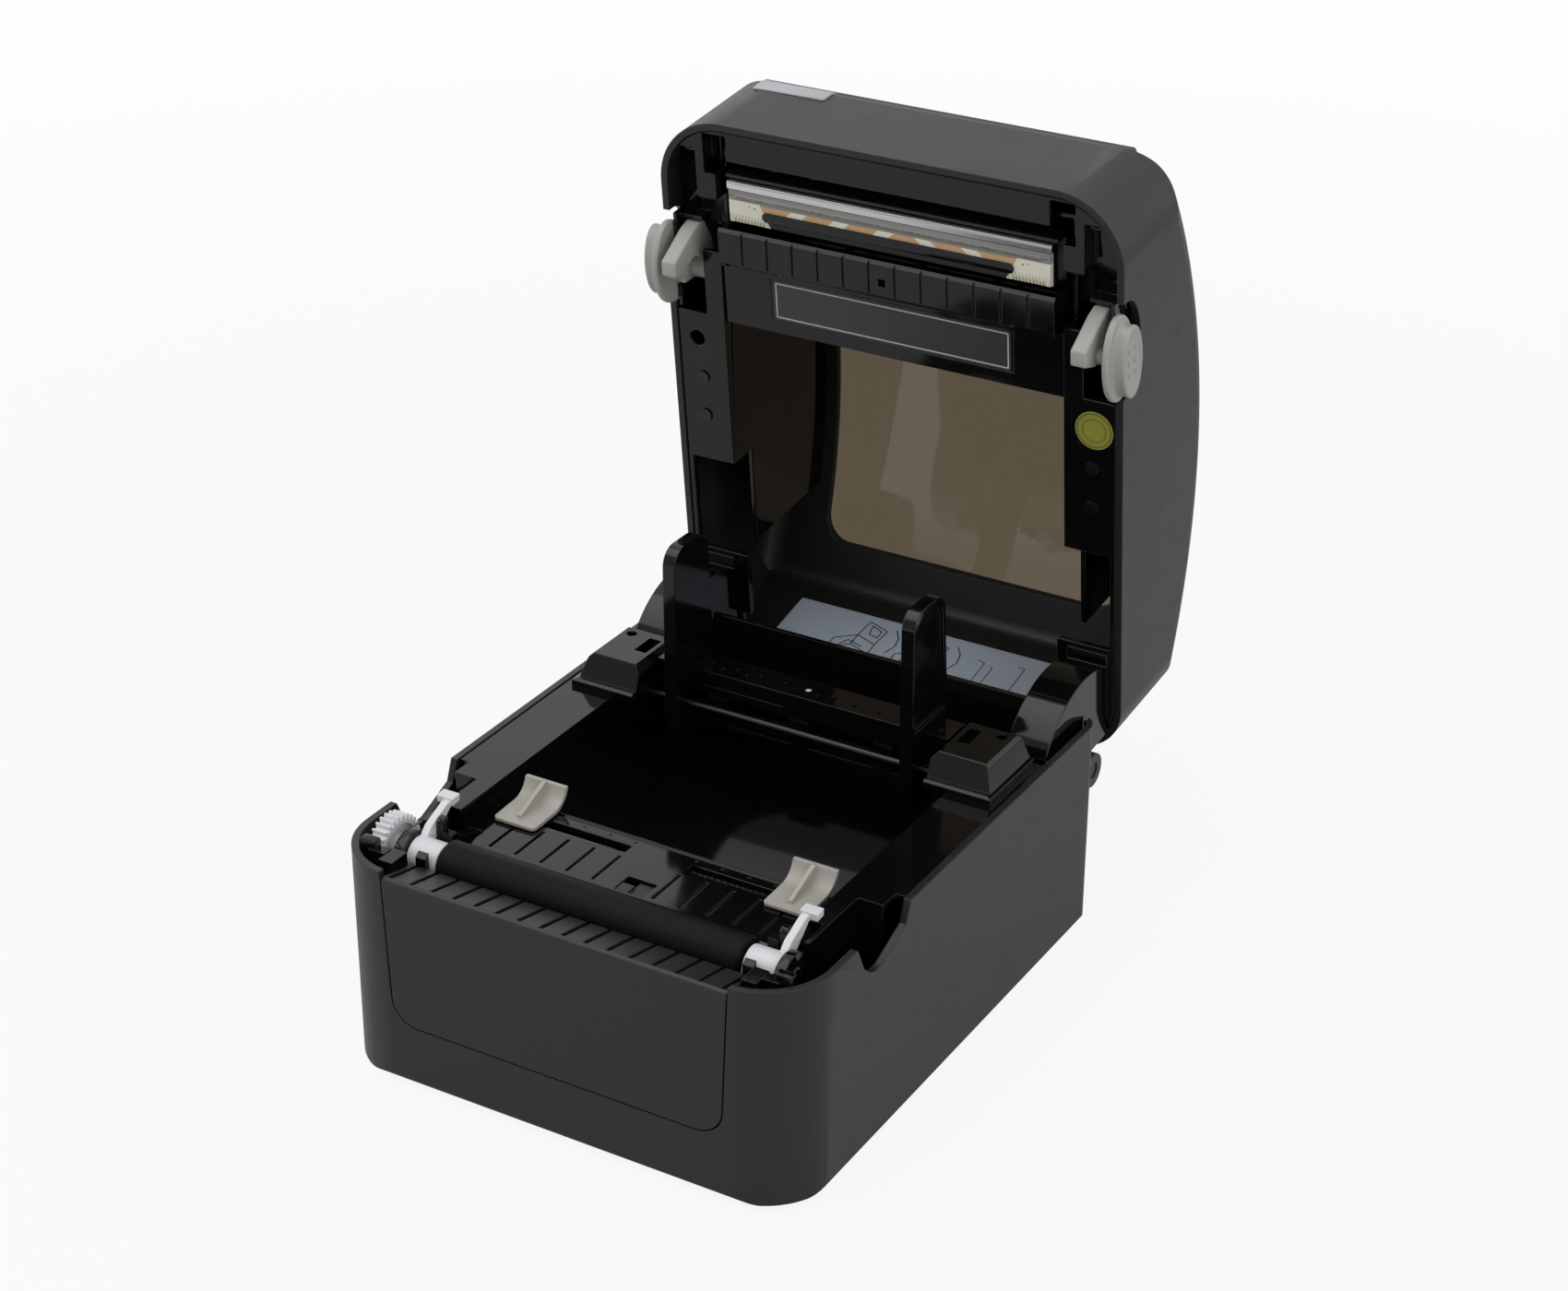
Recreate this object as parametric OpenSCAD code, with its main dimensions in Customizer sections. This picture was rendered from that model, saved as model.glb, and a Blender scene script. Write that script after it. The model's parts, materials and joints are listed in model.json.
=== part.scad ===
// Desktop thermal label printer with its clamshell lid open.
// x runs to the right, y to the back and z up; every module is drawn in "base
// coordinates" (y = 0 at the front face, z = 0 at the flat underside), the lid
// parts as if the lid were shut, and placed by at_base() or lid_pose().

/* [Base casing] */
// Width of the casing
base_w = 184; // [176:1:200]
// Depth of the base casing, front to back
base_d = 218; // [214:1:222]
// Height of the base wall above its underside
base_h = 82; // [80:1:90]
// Wall of the outer casings
wall = 2.6; // [2:0.1:3]
// Thickness of the base floor
floor_t = 3; // [2:0.5:4]
// Plan radius of the two front corners
front_r = 26; // [18:1:30]
// Plan radius of the two rear corners of the base
rear_r = 8; // [4:1:12]
// Rounding along the bottom edge
edge_r = 3; // [1:0.5:5]

/* [Lid] */
// Length of the lid, front to back
lid_l = 223.5; // [222:0.5:228]
// Height of the arched roof above the rim
lid_h = 75; // [70:1:85]
// Radius of the arched roof, seen from the side
arch_r = 220; // [190:5:260]
// Distance of the top of the arch behind the front face
arch_y = 115; // [105:1:125]
// Plan radius of the rear corners of the lid
lid_rear_r = 20; // [12:1:24]
// Rounding where the roof meets the sides
shoulder_r = 12; // [6:1:16]
// Forward lean of the rear wall, millimetres per millimetre of height
rear_lean = 0.11; // [0:0.01:0.2]
// Gap between the shut lid and the base
rim_gap = 0.4; // [0.3:0.1:1]
// Angle that the lid is open
lid_angle = 83.9; // [70:0.1:90]
// Distance of the hinge axis behind the front face
hinge_y = 216.3; // [214:0.1:218]
// Depth of the hinge axis below the rim
hinge_drop = 20.8; // [18:0.1:24]

/* [Window] */
// Width of the raised roof panel and the smoked window
window_w = 150; // [120:2:156]
// Height that they stand above the roof
panel_t = 2.5; // [1.5:0.5:3.5]
// Front edge of the window
window_y0 = 46; // [44:1:60]
// Rear edge of the window
window_y1 = 208; // [190:1:208]

/* [Front panel] */
// Width of the removable front panel at its top
panel_w = 134; // [126:1:136]
// How much each side of the panel draws in towards the bottom
panel_draw = 2; // [0:0.5:4]
// Bottom edge of the panel
panel_z0 = 24; // [16:1:34]
// Radius of its bottom corners
panel_r = 10; // [4:1:14]
// Seam around the panel
seam = 0.6; // [0.4:0.1:1]
// Drop from the rim to the front edge of the tear-off ramp
ramp_top = 2; // [1:0.5:4]
// Depth of the ramp, front to back
ramp_l = 17; // [14:0.5:17]
// Fall of the ramp towards the platen
ramp_fall = 3.5; // [1:0.5:4]
// Slits in the ramp
slit_n = 16; // [8:1:18]
// Distance between slits
slit_pitch = 8.6; // [6:0.1:9]
// Width of a slit
slit_w = 1.6; // [1:0.1:2.4]

/* [Platen drive] */
// Distance of the platen axis behind the front face
platen_y = 27; // [26.5:0.1:28]
// Depth of the platen axis below the rim
platen_drop = 8; // [7.8:0.1:9]
// Radius of the rubber roller
platen_r = 8.5; // [7:0.1:8.6]
// Length of the rubber
rubber_l = 118; // [100:1:119]
// Radius of the steel shaft
shaft_r = 3; // [2:0.25:3.5]
// Running clearance on the radius of a shaft
run_fit = 0.05; // [0.02:0.01:0.1]
// Outer radius of the bushings
bushing_r = 6.5; // [5.5:0.25:6.75]
// Tooth module of the gear train
gear_mod = 0.8; // [0.7:0.05:0.85]
// Teeth on the platen gear
platen_teeth = 28; // [24:1:28]
// Teeth on the idler gear
idler_teeth = 40; // [36:1:42]
// Teeth on the motor pinion
pinion_teeth = 12; // [12:1:16]
// Width of the gears
gear_w = 6; // [4:0.5:7]

/* [Label path] */
// Depth of the sensor platform below the rim
deck_drop = 8; // [7.5:0.5:10]
// Rear edge of the platform
deck_y1 = 75; // [72:1:77]
// Middle of each label guide, from the centre
guide_x = 54; // [40:1:57]
// Width of a label guide
guide_w = 17; // [12:0.5:18]
// Half the width of the roll bay
bay_x = 68.5; // [68:0.1:69.5]
// Radius of the rounded bay floor
bay_r = 54; // [48:1:54]
// Distance of the middle of the roll bay behind the front face
bay_y = 126; // [124:1:127]

/* [Roll holder] */
// Middle of each roll holder fin, from the centre
fin_x = 48.5; // [30:0.5:54]
// Thickness of a fin
fin_t = 5; // [3:0.5:6]
// Height of the fins above the rim
fin_h = 60; // [50:1:62]
// Front face of the cross beam
beam_y0 = 160.5; // [158:0.5:161]
// Depth of the cross beam
beam_d = 13; // [12.5:0.1:14]
// Height of the beam above the rim
beam_h = 10; // [8:0.5:11]
// Height of the beam itself
beam_t = 22; // [20:1:24]
// Half the length of the beam
beam_x = 60; // [58:0.5:61]

/* [Latches] */
// Height of the latch flange, measured front to back on the shut lid
latch_l = 38; // [32:1:40]
// Width of the latch flange
latch_w = 25; // [20:1:27]
// Distance of the thumb pads beyond the casing
pad_out = 5; // [3:0.5:7]

/* [Feet] */
// Radius of a rubber foot
foot_r = 8; // [5:0.5:10]
// Height of a rubber foot
foot_h = 2.5; // [1.5:0.5:5]

/* [Hidden] */
$fn = 48;

eps = 0.01;
gap = 0.3;                          // clearance between neighbours that move
half_w = base_w / 2;
rim = base_h;                       // z of the joint between base and lid
hinge_z = rim - hinge_drop;
platen_z = rim - platen_drop;
deck_z = rim - deck_drop;
in_x = half_w - wall - gap;         // inner pieces keep inside this
CASING = "#343635";
GLOSS = "#141415";
GREY = "#9c9d98";
CREAM = "#c9c6b8";
WHITE = "#eeeeea";
STEEL = "#b9bbbc";
RUBBER = "#232323";
BOARD = "#1f5a3a";

// ---------------------------------------------------------------- helpers

module at_base() translate([0, -base_d / 2, 0]) children();

module lid_pose()
  at_base() translate([0, hinge_y, hinge_z]) rotate([-lid_angle, 0, 0])
    translate([0, -hinge_y, -hinge_z]) children();

module block(x0, x1, y0, y1, z0, z1)
  translate([x0, y0, z0]) cube([x1 - x0, y1 - y0, z1 - z0]);

// 2D (y, z) drawing pushed along x, and 2D (x, z) drawing pushed along y
module along_x(x0, x1) translate([x0, 0, 0]) rotate([90, 0, 90]) linear_extrude(x1 - x0) children();
module along_y(y0, y1) translate([0, y1, 0]) rotate([90, 0, 0]) linear_extrude(y1 - y0) children();

module rod_x(x0, x1, y, z, r) translate([x0, y, z]) rotate([0, 90, 0]) cylinder(h = x1 - x0, r = r);

module both_sides() {
  children();
  mirror([1, 0, 0]) children();
}

// rectangle with one radius at its low-y corners and another at its high-y corners
module plan_outline(hx, y0, y1, r0, r1) {
  translate([-hx, y0 + r0]) square([2 * hx, y1 - y0 - r0 - r1]);
  translate([-hx + r0, y0]) square([2 * (hx - r0), r0 + eps]);
  translate([-hx + r1, y1 - r1 - eps]) square([2 * (hx - r1), r1 + eps]);
  for (s = [-1, 1]) {
    translate([s * (hx - r0), y0 + r0]) circle(r = r0);
    translate([s * (hx - r1), y1 - r1]) circle(r = r1);
  }
}

module round_rect(x0, x1, y0, y1, r) translate([(x0 + x1) / 2, 0])
  plan_outline((x1 - x0) / 2, y0, y1, r, r);

// oval with straight sides: length l along the first axis, width w
module slot_shape(l, w) {
  translate([-(l - w) / 2, -w / 2]) square([l - w, w]);
  for (s = [-1, 1]) translate([s * (l - w) / 2, 0]) circle(d = w);
}

function arc(cx, cy, r, a0, a1, n) =
  [for (i = [0:n]) let (a = a0 + (a1 - a0) * i / n) [cx + r * cos(a), cy + r * sin(a)]];

// ---------------------------------------------------------------- gears

function inv_angle(r, rb) = sqrt(pow(r / rb, 2) - 1) * 180 / PI - acos(rb / r);

// spur gear outline on its pitch radius m*z/2, a tooth centred on +x
module gear_shape(m, z, backlash = 0.12) {
  rp = m * z / 2;
  rb = rp * cos(20);
  ro = rp + 0.9 * m;
  rr = rp - 1.2 * m;
  half = 90 / z + inv_angle(rp, rb) - backlash / rp * 90 / PI;
  steps = 4;
  r0 = max(rb, rr);
  flank = [for (i = [0:steps]) let (r = r0 + (ro - r0) * i / steps) [r, half - inv_angle(r, rb)]];
  tooth = concat([[rr, flank[0][1]]], flank);
  back = [for (i = [len(tooth) - 1:-1:0]) tooth[i]];
  polygon([for (k = [0:z - 1])
    each concat([for (p = tooth) [p[0] * cos(360 * k / z - p[1]), p[0] * sin(360 * k / z - p[1])]],
                [for (p = back) [p[0] * cos(360 * k / z + p[1]), p[0] * sin(360 * k / z + p[1])]])]);
}

// toothed edge of a rack: teeth point to +y from a pitch line at y = 0, a gap centred on x = 0
module rack_shape(m, x0, x1, body, backlash = 0.12) {
  p = PI * m;
  n0 = ceil(x0 / p + 0.5);
  n1 = floor(x1 / p - 0.5);
  h = p / 4 - backlash / 2;
  k = tan(20);
  translate([x0, -body]) square([x1 - x0, body - 1.2 * m]);
  for (i = [n0:n1 - 1]) translate([(i + 0.5) * p, 0])
    polygon([[-h - 1.2 * m * k, -1.2 * m - eps], [h + 1.2 * m * k, -1.2 * m - eps],
             [h - 0.9 * m * k, 0.9 * m], [-h + 0.9 * m * k, 0.9 * m]]);
}

// ---------------------------------------------------------------- base casing

panel_y1 = wall;                    // rear face of the front panel
arm_x0 = 71;                        // hinge arms, inner and outer face
arm_x1 = 87;
arm_r = 37.4;                       // outer radius of an arm about the hinge
pin_r = 3;                          // hinge pin
knuckle_r = 6.5;
slot_z = bay_z() + 3;               // middle of the rear slot for fan-fold labels
function bay_z() = bay_r + floor_t + 3;   // axis of the round bay floor
notch_y = 57;                       // middle of a latch, front to back
INLET = [-34, 22, 9, 11];           // x, z, width, height of the openings at the back
USB = [-8, 22, 12.4, 11.4];
SWITCH = [32, 24, 21, 15];

module base_block()
  intersection() {
    linear_extrude(base_h) plan_outline(half_w, 0, base_d, front_r, rear_r);
    along_y(-1, base_d + 1) plan_outline(half_w, 0, base_h, edge_r, 1 * eps);
    along_x(-half_w, half_w) plan_outline_side(base_d, base_h, edge_r);
  }

module plan_outline_side(d, h, r) {
  translate([0, r]) square([d, h - r]);
  translate([r, 0]) square([d - 2 * r, r + eps]);
  translate([r, r]) circle(r = r);
  translate([d - r, r]) circle(r = r);
}

// outline of the front panel; grow widens it for the hole that it sits in
module panel_shape(grow) {
  w0 = panel_w / 2 - panel_draw + grow;
  w1 = panel_w / 2 + grow;
  z0 = panel_z0 - grow;
  r = panel_r + grow;
  polygon(concat([[w1, rim + 1], [-w1, rim + 1]],
                 arc(-w0 + r, z0 + r, r, 180, 270, 8), arc(w0 - r, z0 + r, r, 270, 360, 8)));
}

// dip in both side walls that the latch flanges drop into
DIP = [[-17.4, 0], [-13, -9.4], [-9, -13], [-5.5, -14.4], [-1, -14.4], [6, -11.6], [15, -7.8], [18, 0]];

module latch_dip() translate([notch_y, rim]) polygon(concat([[-18, 1]], DIP, [[18.4, 1]]));

// side view of a latch flange: it follows the dip below the rim and is round above; inset i
module flange_shape(i) translate([notch_y, rim]) {
  k = 0.9 - i / 16;
  polygon([for (p = DIP) [p[0] * k, p[1] * k]]);
  intersection() {
    translate([0.3, 0]) scale([1, 0.66]) circle(r = 15.9 - i);
    translate([-20, -eps]) square([40, 20]);
  }
}

module base_shell() color(CASING) at_base() {
  difference() {
    base_block();
    translate([0, 0, floor_t]) linear_extrude(base_h)
      plan_outline(half_w - wall, wall, base_d - wall, front_r - wall, rear_r - wall);
    along_y(-1, wall + 1) panel_shape(seam);
    both_sides() along_x(in_x - 1, half_w + 1) latch_dip();
    // slots in the rear wall for the hinge arms
    both_sides() block(arm_x0 - 1, arm_x1 + 1.2, base_d - wall - 1, base_d + 1, hinge_z - 26, base_h + 1);
    both_sides() rod_x(arm_x0 - 6, half_w - 1, hinge_y, hinge_z, pin_r + run_fit);
    // fan-fold slot, power inlet, data port and switch
    along_y(base_d - wall - 1, base_d + 1) translate([0, slot_z - 2.5]) round_rect(-57, 57, 0, 5, 1);
    for (p = [INLET, USB, SWITCH])
      block(p[0] - p[2] / 2, p[0] + p[2] / 2, base_d - wall - 1, base_d + 1,
            p[1] - p[3] / 2, p[1] + p[3] / 2);
    // vents and foot seats in the floor
    for (i = [-5:5]) block(i * 9 - 1.5, i * 9 + 1.5, 26, 62, -1, floor_t + 1);
    feet_places() translate([0, 0, -1]) cylinder(h = 2, r = foot_r + 0.1);
    screw_places() {
      translate([0, 0, -1]) cylinder(h = floor_t + 2, r = 1.7);
      translate([0, 0, -1]) cylinder(h = 2.8, r = 3.4);
    }
  }
  // hinge knuckles
  both_sides() difference() {
    union() {
      rod_x(arm_x0 - 5, arm_x0 - 1, hinge_y, hinge_z, knuckle_r);
      rod_x(arm_x1 + 1.2, half_w - 0.8, hinge_y, hinge_z, knuckle_r);
    }
    rod_x(arm_x0 - 6, half_w, hinge_y, hinge_z, pin_r + run_fit);
  }
}

module feet_places() for (s = [-1, 1], y = [24, base_d - 24]) translate([s * 72, y, 0]) children();
module screw_places() for (s = [-1, 1], y = [44, base_d - 46]) translate([s * 80, y, 0]) children();

module rubber_feet() color(RUBBER) at_base() feet_places() difference() {
  translate([0, 0, -foot_h]) cylinder(h = foot_h + 1, r = foot_r);
  translate([0, 0, -foot_h - 1]) cylinder(h = 1.6, r = foot_r - 3);
}

module base_screws() color(STEEL) at_base() screw_places() difference() {
  union() {
    translate([0, 0, 0.2]) cylinder(h = 1.6, r = 3);
    translate([0, 0, 0.2]) cylinder(h = 9, r = 1.3);
  }
  translate([0, 0, -0.5]) {
    block(-1.8, 1.8, -0.35, 0.35, 0, 1.6);
    block(-0.35, 0.35, -1.8, 1.8, 0, 1.6);
  }
}

// ---------------------------------------------------------------- front panel with tear-off ramp

module front_panel() color(CASING) at_base() {
  ramp_z = rim - ramp_top;
  w1 = panel_w / 2;
  difference() {
    union() {
      intersection() {
        along_y(0, panel_y1) panel_shape(0);
        block(-w1 - 1, w1 + 1, -1, panel_y1 + 1, 0, ramp_z - 1);
      }
      along_x(-w1, w1) polygon([[0, ramp_z - 3], [0.4, ramp_z - 0.6], [1.6, ramp_z],
        [ramp_l, ramp_z - ramp_fall], [ramp_l, ramp_z - ramp_fall - 2], [panel_y1, ramp_z - 3]]);
    }
    for (i = [0:slit_n - 1]) translate([(i - (slit_n - 1) / 2) * slit_pitch, 0, 0])
      block(-slit_w / 2, slit_w / 2, 1.8, ramp_l + 1, ramp_z - ramp_fall - 4, ramp_z + 1);
  }
  // stand-offs that seat the panel on the chassis bulkhead
  for (s = [-1, 1], z = [34, 66]) translate([s * 50, panel_y1 - eps, z]) rotate([-90, 0, 0])
    cylinder(h = bulkhead_y - panel_y1 + eps, r = 2.5);
}

// ---------------------------------------------------------------- inner chassis and roll bay

bulkhead_y = 5.4;                   // front bulkhead behind the panel
seat_x0 = 62;                       // upright plates that carry the platen bushings
seat_x1 = 66;
rail_t = 2.5;                       // thickness of the top rails
rail_z = rim - 0.4;                 // their upper face
pocket_y0 = notch_y - 21;           // latch pockets in the rails
pocket_y1 = notch_y + 11;
side_t = 2;                         // thickness of the side walls of the bay

module inner_chassis() color(GLOSS) at_base() {
  // top rails
  difference() {
    translate([0, 0, rail_z - rail_t]) linear_extrude(rail_t)
      plan_outline(in_x, wall + gap, base_d - wall - gap, front_r - wall - gap, rear_r - wall - gap);
    block(-bay_x, bay_x, -1, base_d, rim - 20, rim);
    block(-in_x - 1, in_x + 1, -1, pocket_y0, rim - 20, rim);
    block(-in_x - 1, in_x + 1, beam_y0 + beam_d + 4, base_d, rim - 20, rim);
    both_sides() block(76, in_x + 1, pocket_y0 - 1, pocket_y1, rim - 20, rim);
    both_sides() block(bay_x - 1, 74.4, -1, platen_y + 21, rim - 20, rim);
    screw_mounts() cylinder(h = 30, r = 1);
    both_sides() block(latch_x1 - 0.6, in_x + 1, pocket_y0 - 1, notch_y + 19.6, rim - 20, rim);
  }
  difference() {
    both_sides() block(bay_x, bay_x + side_t, 50, base_d - wall - gap, floor_t, rail_z);
    knuckle_room();
    motor_room();
  }
  both_sides() {
    // skirts of the latch pockets
    block(bay_x + side_t - eps, latch_x1 - 1, pocket_y1, pocket_y1 + 1.6, rim - 22, rail_z - rail_t + eps);
    block(74.4, 76, pocket_y0, pocket_y1 + eps, rim - 14, rail_z);
    block(bay_x + side_t - eps, 76, 50, 52, rim - 14, rail_z - rail_t + eps);
    // corner shelves and the guards beside the gear and the bushing
    block(73.4, 80, 10.6, 14.6, rim - 26, rim - 0.2);
    block(67.8, 73.4, 7.4, 16, rim - 26, rim - 0.6);
    block(seat_x1 - eps, bay_x + side_t, 44, 52, motor_z + motor_r + 1, deck_z - 2.5);
  }
  // bushing seats: upright plates with an open notch
  difference() {
    both_sides() difference() {
      along_x(seat_x0, seat_x1) polygon([[ramp_l + 1, floor_t], [ramp_l + 1, platen_z + 5],
        [ramp_l + 3, platen_z + 6.5], [platen_y + 9.5, platen_z + 6.5], [platen_y + 12, platen_z + 4],
        [50, deck_z], [50, floor_t]]);
      rod_x(seat_x0 - 1, seat_x1 + 1, platen_y, platen_z, bushing_r + gap);
      block(seat_x0 - 1, seat_x1 + 1, platen_y - bushing_r - gap, platen_y + bushing_r + gap, platen_z, rim + 9);
    }
    motor_room();
  }
  // front bulkhead and corner shelves
  block(-74, 74, bulkhead_y, bulkhead_y + 2, floor_t, rim - 8);
  both_sides() block(seat_x0, 74, bulkhead_y + 2 - eps, ramp_l + 1 + eps, rim - 28, rim - 26);
  both_sides() block(72, 80, 10.6, 16, floor_t, rim - 26 + eps);
  both_sides() block(seat_x0, seat_x0 + 3, bulkhead_y, ramp_l + 2, floor_t, rim - 26);
  // trough under the platen
  difference() {
    rod_x(-seat_x0 - eps, seat_x0 + eps, platen_y, platen_z, platen_r + 3);
    rod_x(-seat_x0 - 1, seat_x0 + 1, platen_y, platen_z, platen_r + 1.5);
    block(-seat_x0 - 1, seat_x0 + 1, 0, platen_y + 20, platen_z - 2.9, rim + 9);
  }
  // rear apron with the upstand in front of the rear wall
  difference() {
    block(-bay_x, bay_x, base_d - wall - gap - side_t, base_d - wall - gap, slot_z - 6, rim + 3);
    block(-57, 57, base_d - wall - gap - side_t - 1, base_d, slot_z - 2.5, slot_z + 2.5);
    knuckle_room();
  }
}

// room around the inner hinge knuckles of the base
module knuckle_room() both_sides() rod_x(arm_x0 - 6, arm_x0, hinge_y, hinge_z, knuckle_r + gap);

// room for the motor, which passes through the left seat plate and bay wall
module motor_room() block(bracket_x0 - 1, bracket_x0 + 27, motor_y - motor_r - 1, motor_y + motor_r + 3,
  floor_t - 1, motor_z + motor_r + 1);

// moulded tub for the label roll: round floor, front slope and rear shelf
module roll_bin() color(GLOSS) at_base() {
  x = bay_x - gap / 3;
  t = 2;
  y_back = base_d - wall - gap - side_t - 0.1;
  difference() {
    rod_x(-x, x, bay_y, bay_z(), bay_r + t);
    rod_x(-x - 1, x + 1, bay_y, bay_z(), bay_r);
    block(-x - 1, x + 1, bay_y - bay_r - t - 1, bay_y + bay_r + t + 1, bay_z(), rim + 60);
  }
  along_x(-x, x) polygon([[bay_y - bay_r - t, bay_z() - eps], [bay_y - bay_r, bay_z() - eps],
    [deck_y1, deck_z - 7], [deck_y1, deck_z - 0.4], [deck_y1 - t, deck_z - 1.4], [deck_y1 - t, deck_z - 8]]);
  difference() {
    block(-x, x, bay_y + bay_r, y_back, bay_z() - t, bay_z());
    knuckle_room();
  }
  for (s = [-1, 1], y = [bay_y - 18, bay_y + 18]) block(s * 40 - 1, s * 40 + 1, y - 1, y + 1, floor_t, 8);
}

module sensor_deck() color(GLOSS) at_base() {
  x = bay_x - gap / 3;
  y0 = platen_y + platen_r + 1.8;
  difference() {
    union() {
      along_x(-x, x) polygon([[y0, deck_z - 2.5], [y0, deck_z - 0.8], [y0 + 2, deck_z],
        [deck_y1 - 2.6, deck_z], [deck_y1 - 2.6, deck_z - 2.5]]);
      // rails below the platform that guide the two racks
      block(-x, x, guide_y() - 8.2, guide_y() - 6.6, deck_z - 8, deck_z - 2.5 + eps);
    }
    both_sides() block(12, guide_x + guide_w / 2 + 4, guide_y() - 2.2, guide_y() + 2.2, deck_z - 3, deck_z + 1);
    deck_slits(y0 + 6, guide_y() - 5, 10.4);
    deck_slits(guide_y() + 4.4, deck_y1 - 4, 10.4);
    block(-2.4, 9, y0 + 5, y0 + 14, deck_z - 3, deck_z + 1);
    both_sides() block(seat_x0 - gap, seat_x1 + gap, y0 - 1, 50 + gap, deck_z - 3, deck_z + 1);
  }
}

function guide_y() = deck_y1 - 9;   // middle of the slots that the label guides slide in

module deck_slits(y0, y1, pitch)
  for (s = [-1, 1], i = [0:5]) translate([s * (12 + i * pitch), 0, 0])
    if (i < 5 || y0 > guide_y()) block(-0.5, 0.5, y0, y1, deck_z - 0.9, deck_z + 1);

label_window = [-0.6, platen_y + 23];    // sensor pocket in the platform: x, y of its lens

module label_sensor() at_base() {
  y0 = platen_y + platen_r + 6.8;
  color(WHITE) block(-2.1, 2.6, y0 + 0.3, y0 + 5, deck_z - 5, deck_z - 0.2);
  color(GLOSS) block(2.6, 8.7, y0 + 0.3, y0 + 8.6, deck_z - 5, deck_z - 1);
  color(BOARD) block(-6, 12, y0, y0 + 9, deck_z - 6.4, deck_z - 5);
}

// ---------------------------------------------------------------- label guides

guide_mod = 0.8;
guide_teeth = 10;
guide_rp = guide_mod * guide_teeth / 2;
rack_z = deck_z - 6.4;              // underside of the guide racks
rack_h = 3;

// side = -1 draws the left guide, 1 the right one
module label_guide(side) {
  y = guide_y();
  x = side * guide_x;
  z = deck_z + 0.4;
  curl = 7.6;
  color(CREAM) {
    difference() {
      union() {
        // foot plate that curls up at the back
        along_x(x - guide_w / 2, x + guide_w / 2) polygon(concat(
          [[y - 8, z], [y - 8, z + 1.2]],
          arc(y + 4.6, z + 1.6 + curl, curl, -92, -12, 8),
          arc(y + 4.6, z + 1.6 + curl, curl + 1.5, -10, -90, 8)));
        // web across the middle
        along_x(x - 0.8, x + 0.8) polygon(concat([[y - 4.4, z + 1], [y - 4.4, z + 2.4], [y + 11, z + 8.2]],
          arc(y + 4.6, z + 1.6 + curl, curl + 0.5, -10, -90, 6)));
      }
      for (s = [-1, 1]) translate([x + s * guide_w / 2, y - 8, 0])
        rotate([0, 0, 45]) cube([1.6, 1.6, 60 * 3], center = true);
    }
    block(x - guide_w / 2 + 3, x + guide_w / 2 - 3, y - 1.9, y + 1.9, rack_z, z + 0.5);
    // foot and rack below the platform; the left rack lies in front of the pinion
    block(x - guide_w / 2 + 3, x + guide_w / 2 - 3, y + min(side * (guide_rp + 1.6), 0),
          y + max(side * (guide_rp + 1.6), 0), rack_z, rack_z + rack_h);
    translate([0, y + side * guide_rp, rack_z]) mirror([side > 0 ? 1 : 0, 0, 0])
      mirror([0, side > 0 ? 1 : 0, 0]) linear_extrude(rack_h) rack_shape(guide_mod, -guide_x, 6, 2.2);
  }
}

module guide_pinion() color(WHITE) at_base() translate([0, guide_y(), 0]) {
  difference() {
    translate([0, 0, rack_z]) rotate([0, 0, -90]) linear_extrude(rack_h) gear_shape(guide_mod, guide_teeth);
    translate([0, 0, rack_z - 1]) cylinder(h = rack_h + 2, r = 1.25 + run_fit);
  }
}

// ---------------------------------------------------------------- platen and gear train

gear_x0 = -85;                      // gears run from here to gear_x0 + gear_w
tooth_fit = 0.1;                    // extra distance between gear centres
gear_rp = gear_mod * platen_teeth / 2;
idler_rp = gear_mod * idler_teeth / 2;
pinion_rp = gear_mod * pinion_teeth / 2;
idler_dir = -65;                    // directions of the lines of centres in the (y, z) plane
motor_dir = -60;
idler_y = platen_y + (gear_rp + idler_rp + tooth_fit) * cos(idler_dir);
idler_z = platen_z + (gear_rp + idler_rp + tooth_fit) * sin(idler_dir);
motor_y = idler_y + (idler_rp + pinion_rp + tooth_fit) * cos(motor_dir);
motor_z = idler_z + (idler_rp + pinion_rp + tooth_fit) * sin(motor_dir);
motor_r = 17;
idler_phase = idler_dir + 180 + 180 / idler_teeth;
mesh_slip = (motor_dir - idler_phase) / (360 / idler_teeth);
tooth_slip = (round(mesh_slip) - mesh_slip) * 360 / idler_teeth;
pinion_phase = motor_dir + 180 + 180 / pinion_teeth - tooth_slip * idler_teeth / pinion_teeth;

module spur(y, z, teeth, phase, x0, w) translate([x0, y, z]) rotate([90, 0, 90])
  rotate([0, 0, phase]) linear_extrude(w) gear_shape(gear_mod, teeth);

module platen_rubber() color(RUBBER) at_base() difference() {
  union() {
    rod_x(-rubber_l / 2, rubber_l / 2, platen_y, platen_z, platen_r - 0.6);
    rod_x(-rubber_l / 2 + 0.6, rubber_l / 2 - 0.6, platen_y, platen_z, platen_r);
  }
  rod_x(-rubber_l, rubber_l, platen_y, platen_z, shaft_r);
}

module platen_shaft() color(STEEL) at_base() difference() {
  rod_x(gear_x0 - 1.5, seat_x1 + 7, platen_y, platen_z, shaft_r);
  block(gear_x0 - 2, gear_x0 + gear_w + 2, platen_y - shaft_r, platen_y + shaft_r,
        platen_z + shaft_r - 0.8, platen_z + shaft_r);
}

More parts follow.
